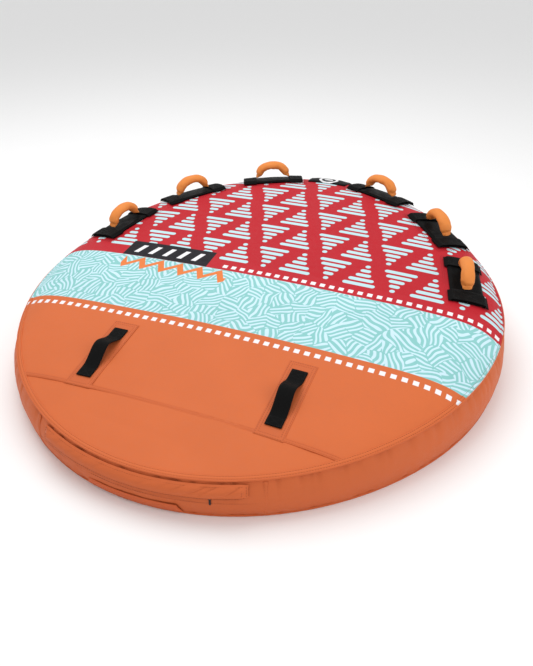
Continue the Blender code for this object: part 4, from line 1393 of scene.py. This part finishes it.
# ---------------------------------------------------------------- zip, flap and wear patch

def flap_lift(across, down):
    """How far the padded flap stands off the band: down from its sewn edge 0 to its hem 1."""
    lifts = [0.0016, 0.0070, 0.0098, 0.0100, 0.0088, 0.0072]
    place = down * (len(lifts) - 1)
    first = min(int(place), len(lifts) - 2)
    lift = mix(lifts[first], lifts[first + 1], place - first)
    return mix(0.0030, lift, ease(min(across, 1 - across) / 0.035))


def flap_wrinkle(across, down, arc):
    """Drag folds that slant down from the sewn top edge, strongest towards both ends."""
    fold = wander(arc * 20 + down * 1.3, down * 0.8, 2.2)
    sharp = (1 - abs(wander(arc * 26 + down * 1.8, down * 0.5, 6.4))) ** 5
    fine = wander(arc * 60 - down, down * 2.0, 8.1)
    strength = 0.5 + 0.9 * ease((across - 0.62) / 0.2) + 0.4 * ease((0.25 - across) / 0.2)
    shape = 0.0026 * fold - 0.0030 * sharp + 0.0008 * fine
    edge = ease(min(across, 1 - across) / 0.02)
    return shape * strength * edge * ease(down * 3) * ease(1.15 - down)


def flap_spot(across, down, above=0.0):
    """A point on the flap, the way it faces, and its place on the flat cloth."""
    reach = radians(FLAP_BEARING)
    bearing = pi + reach - 2 * reach * across
    y = rim_y(bearing)
    path = band_path(y, (2 - FLAP_TOP_PATH) * seam_height(y) - FLAP_HEIGHT * down)
    arc = (across - 0.5) * 2 * reach * outline_radius(pi)
    lift = flap_lift(across, down) + flap_wrinkle(across, down, arc)
    out = skin_normal(bearing, path)
    out.z = 0.0
    out.normalize()
    return skin_point(bearing, path) + out * (lift + above), out, (arc, -FLAP_HEIGHT * down)


def lift_with_flap(piece):
    """Bakes the piece's transform into its mesh."""
    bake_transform(piece)


def add_flap():
    rows = [[flap_spot(across, down)[::2] for across in shares(280)] for down in shares(20)]
    flap = faced_sheet("zip_flap_cloth", rows, "orange cloth", REARWARDS, FLAP_THICKNESS)
    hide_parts("zip_flap")
    lift_with_flap(flap)
    runs = []
    for across in (0.008, 0.026, 0.974, 0.992):
        runs.append([flap_spot(across, mix(0.06, 0.94, down), FLAP_THICKNESS + 0.0004)[:2]
                     for down in shares(12)])
    for down in (0.10, 0.94):
        runs.append([flap_spot(mix(0.01, 0.99, across), down, FLAP_THICKNESS + 0.0008)[:2]
                     for across in shares(280)])
    lift_with_flap(stitches("zip_flap_stitches", runs, "orange thread"))


def wear_patch_spot(across, down):
    """A corner of the patch, and its place on the flat cloth; its ends slant outwards."""
    tall = WEAR_PATCH_HIGH - WEAR_PATCH_LOW
    height = WEAR_PATCH_HIGH - tall * down
    side = (WEAR_PATCH_WIDTH / 2 + tall * 0.5 * down) * (2 * across - 1)
    bearing = pi - asin(side / outline_radius(pi))
    rim = min(min(down, 1 - down) * tall, min(across, 1 - across) * WEAR_PATCH_WIDTH)
    lift = mix(0.0006, 0.0022, ease(rim / 0.003))
    return band_spot(bearing, height, lift)[0], (side, height)


def add_wear_patch():
    """A patch low on the rear of the side band."""
    rows = [[wear_patch_spot(across, down) for across in shares(60)] for down in shares(12)]
    patch = faced_sheet("wear_patch_cloth", rows, "patch cloth", REARWARDS, WEAR_PATCH_THICKNESS)
    settle(patch, "orange_nylon", "rear_wear_patch")


def zip_arc():
    """Centre and radius of the level arc that the zip's teeth follow round the rear."""
    low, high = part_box("zipper_chain")
    sag = high.y - low.y
    radius = (high.x ** 2 + sag ** 2) / (2 * sag)
    return low.y + radius, radius, high.x


def add_zip_teeth():
    """Two rows of coil teeth that mesh along the zip's middle."""
    centre, radius, reach = zip_arc()
    count = int(2 * reach / TOOTH_PITCH)
    size = Matrix.Diagonal((*TOOTH_SIZE, 1.0))
    data = bpy.data.meshes.new("zip_teeth")
    with opened(data) as surface:
        for index in range(count):
            turn = asin((index - count / 2 + 0.5) * TOOTH_PITCH / radius)
            side = 1 if index % 2 else -1
            place = Matrix.Translation((0, centre, ZIP_HEIGHT)) @ Matrix.Rotation(turn, 4, "Z")
            place = place @ Matrix.Translation((0, 0.0010 - radius, side * TOOTH_OFFSET))
            bmesh.ops.create_cube(surface, size=1.0, matrix=place @ size)
    teeth = new_piece("zip_teeth", data, "zip teeth")
    round_edges(teeth, 0.0003)
    settle(teeth, "black_plastic", "zipper_chain")


def round_edges(piece, width):
    bevel = piece.modifiers.new("rounded edges", "BEVEL")
    bevel.width = width
    bevel.segments = 2
    bevel.limit_method = "ANGLE"
    bevel.harden_normals = True


# ---------------------------------------------------------------- tow point

def tow_patch_spot(across, path, length, lengths, seam_length):
    """A corner of the patch, padded away from its rim, and its place on the flat cloth."""
    bearing = mix(-TOW_PATCH_BEARING, TOW_PATCH_BEARING, across)
    width = 2 * TOW_PATCH_BEARING * outline_radius(0.0)
    rim = min(min(across, 1 - across) * width, length, lengths[-1] - length)
    lump = 0.0007 * wander(across * 6, length * 30, 1.5)
    puff = 0.0030 * ease(rim / 0.05) * ease((1.02 - path) / 0.05)
    lift = mix(0.0012, 0.0044, ease(rim / 0.007)) + lump + puff
    place = skin_point(bearing, path) + tow_patch_normal(bearing, path) * lift
    return place, (bearing * outline_radius(0.0), seam_length - length)


def add_tow_patch():
    """Patch wrapped over the front edge, from the deck down the band."""
    paths = [mix(TOW_PATCH_START - 0.008, 1.0, share) for share in shares(40)]
    on_deck = len(paths) - 1
    paths += [mix(1.0, TOW_PATCH_END, share) for share in shares(25)][1:]
    width = 2 * TOW_PATCH_BEARING * outline_radius(0.0)
    lengths = running_lengths([skin_point(0.0, path) for path in paths])
    rows = [[tow_patch_spot(across, path, length, lengths, lengths[on_deck])
             for across in shares(50)] for path, length in zip(paths, lengths)]
    patch = faced_sheet("tow_patch_cloth", rows, "tow patch cloth", Vector((0, 1, 1)),
                        TOW_PATCH_THICKNESS)
    settle(patch, "black_neoprene", "tow_patch")
    runs = []
    for inset in TOW_PATCH_STITCH_INSETS:
        for side in (-1, 1):
            bearing = side * TOW_PATCH_BEARING * (1 - 2 * inset / width)
            run = []
            for path in paths[3:-3]:
                up = tow_patch_normal(bearing, path)
                run.append((skin_point(bearing, path) + up * 0.0061, up))
            runs.append(run)
    sew("tow_patch_stitches", runs, "black thread", "black_neoprene")


def tow_patch_normal(bearing, path):
    """The skin's normal, turned evenly across the ring seam's sharp corner."""
    before = skin_normal(bearing, min(path, 0.995) - 0.004)
    after = skin_normal(bearing, max(path, 1.005) + 0.03)
    return before.lerp(after, ease((path - 0.97) / 0.10)).normalized()


def webbing_route(low, high):
    """Middle line of the webbing: down the patch, round the bar and up over itself."""
    outside = high.z - low.z - (TOW_STEM_HEIGHT - TOW_BAR_HEIGHT)
    loop = outside - TOW_WEBBING_THICKNESS / 2
    centre_y = high.y - outside
    back = low.y + TOW_WEBBING_THICKNESS / 2
    route = [Vector((0, back, mix(TOW_STEM_HEIGHT, TOW_BAR_HEIGHT, share))) for share in shares(12)]
    for share in shares(33)[1:-1]:
        turn = mix(pi, 2 * pi + radians(52), share)
        route.append(Vector((0, centre_y + loop * cos(turn), TOW_BAR_HEIGHT + loop * sin(turn))))
    start = route[-1]
    meet = Vector((0, back + TOW_WEBBING_THICKNESS, start.z + 0.012))
    end = Vector((0, back + TOW_WEBBING_THICKNESS, TOW_STEM_HEIGHT))
    route += [start.lerp(meet, ease(share)) for share in shares(6)[1:]]
    return route + [meet.lerp(end, share) for share in shares(8)[1:]], meet


def add_tow_webbing():
    """Webbing looped round the connector's bar, with both layers sewn up the patch."""
    route, meet = webbing_route(*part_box("tow_webbing"))
    rings = []
    for index, middle in enumerate(route):
        ahead = (route[min(index + 1, len(route) - 1)] - route[max(index - 1, 0)]).normalized()
        up = Vector((1, 0, 0)).cross(ahead)
        rings.append([middle + Vector((across, 0, 0)) + up * rise for across, rise
                      in strap_section(TOW_WEBBING_WIDTH, TOW_WEBBING_THICKNESS)])
    settle(loft("tow_webbing_loop", rings, "black webbing"), "black_webbing", "tow_webbing")
    face = meet.y + TOW_WEBBING_THICKNESS / 2
    half_x = TOW_WEBBING_WIDTH / 2 - 0.005
    runs = []
    for corners in crossed_box(-half_x, half_x, meet.z + 0.002, TOW_STEM_HEIGHT - 0.003):
        for first, last in zip(corners, corners[1:]):
            runs.append([(Vector((mix(first[0], last[0], share), face,
                                  mix(first[1], last[1], share))), -REARWARDS)
                         for share in shares(8)])
    sew("tow_webbing_stitches", runs, "black thread", "black_webbing")


# ---------------------------------------------------------------- kept frame nodes

def keep_node(name, finish, bevel=0.0, smooth=False):
    """A frame node that stays as it is, with its own finish and rounded edges."""
    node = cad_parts[name]
    node.data.materials.clear()
    node.data.materials.append(FINISHES[finish])
    if smooth:
        node.data.shade_smooth()
    if bevel:
        round_edges(node, bevel)


def dress_kept_nodes():
    keep_node("bladder", "bladder vinyl", smooth=True)
    for side in ("left", "middle", "right"):
        keep_node(side + "_baffle", "bladder vinyl")
    keep_node("valve_body", "moulded black", 0.0006)
    keep_node("valve_cap", "moulded grey", 0.0008)
    keep_node("zipper_tape", "tape cloth")
    keep_node("zipper_slider", "moulded black", 0.0003)
    keep_node("zipper_pull", "moulded black", 0.0004)
    keep_node("tow_connector", "moulded black", 0.0020)


# ---------------------------------------------------------------- studio

def add_floor():
    reach = FLOOR_REACH
    corners = [(-reach, -reach, 0), (reach, -reach, 0), (reach, reach, 0), (-reach, reach, 0)]
    data = bpy.data.meshes.new("studio_floor")
    data.from_pydata(corners, [], [(0, 1, 2, 3)])
    recipe, shader = new_finish("studio floor")
    recipe.feed(shader.inputs["Base Color"], (FLOOR_GREY, FLOOR_GREY, FLOOR_GREY, 1.0))
    recipe.feed(shader.inputs["Roughness"], 0.9)
    floor = new_piece("studio_floor", data, "studio floor")
    floor.location.z = -0.0005


def add_lamp(name, place, size, power):
    light = bpy.data.lights.new(name, "AREA")
    light.shape = "DISK"
    light.size = size
    light.energy = power
    lamp = bpy.data.objects.new(name, light)
    lamp.location = place
    lamp.rotation_mode = "QUATERNION"
    lamp.rotation_quaternion = (Vector((0, 0, 0.1)) - lamp.location).to_track_quat("-Z", "Y")
    bpy.context.scene.collection.objects.link(lamp)


def add_lights():
    bpy.context.scene.view_settings.view_transform = "Standard"
    world = bpy.data.worlds.new("studio")
    world.use_nodes = True
    sky = world.node_tree.nodes["Background"]
    sky.inputs["Color"].default_value = (1.0, 1.0, 1.0, 1.0)
    sky.inputs["Strength"].default_value = 0.76
    bpy.context.scene.world = world
    add_lamp("overhead_softbox", Vector((-0.8, 0.4, 3.2)), 3.0, 55.0)
    add_lamp("side_softbox", Vector((3.2, -1.0, 1.9)), 2.0, 24.0)


def add_camera():
    """The camera's place and lens, from its direction, distance and frame size."""
    azimuth = radians(22.2565)
    elevation = radians(30.5705)
    distance = 2.1277
    target = Vector((0.0, 0.0, 0.0749))
    back = Vector((sin(azimuth) * cos(elevation), -cos(azimuth) * cos(elevation), sin(elevation)))
    lens = bpy.data.cameras.new("studio_camera")
    lens.sensor_width = 36.0
    lens.lens = 36.162
    lens.shift_x = 0.0062
    lens.shift_y = -0.0312
    camera = bpy.data.objects.new("studio_camera", lens)
    camera.location = target + back * distance
    camera.rotation_mode = "QUATERNION"
    camera.rotation_quaternion = (-back).to_track_quat("-Z", "Y")
    bpy.context.scene.collection.objects.link(camera)
    bpy.context.scene.camera = camera


# ---------------------------------------------------------------- assembly

def build():
    add_finishes()
    add_deck()
    add_ring_hem()
    add_welt("ring_welt", "top_seam_welt", 1.0, 0.0)
    add_side_band()
    add_welt("bottom_welt", "bottom_seam_welt", 2.0, WELT_RADIUS + 0.0002)
    add_bottom()
    add_rear_panel_seam()
    add_band_seams()
    add_grips()
    add_straps()
    add_flap()
    add_wear_patch()
    add_zip_teeth()
    add_tow_patch()
    add_tow_webbing()
    dress_kept_nodes()
    add_floor()
    add_lights()
    add_camera()


build()
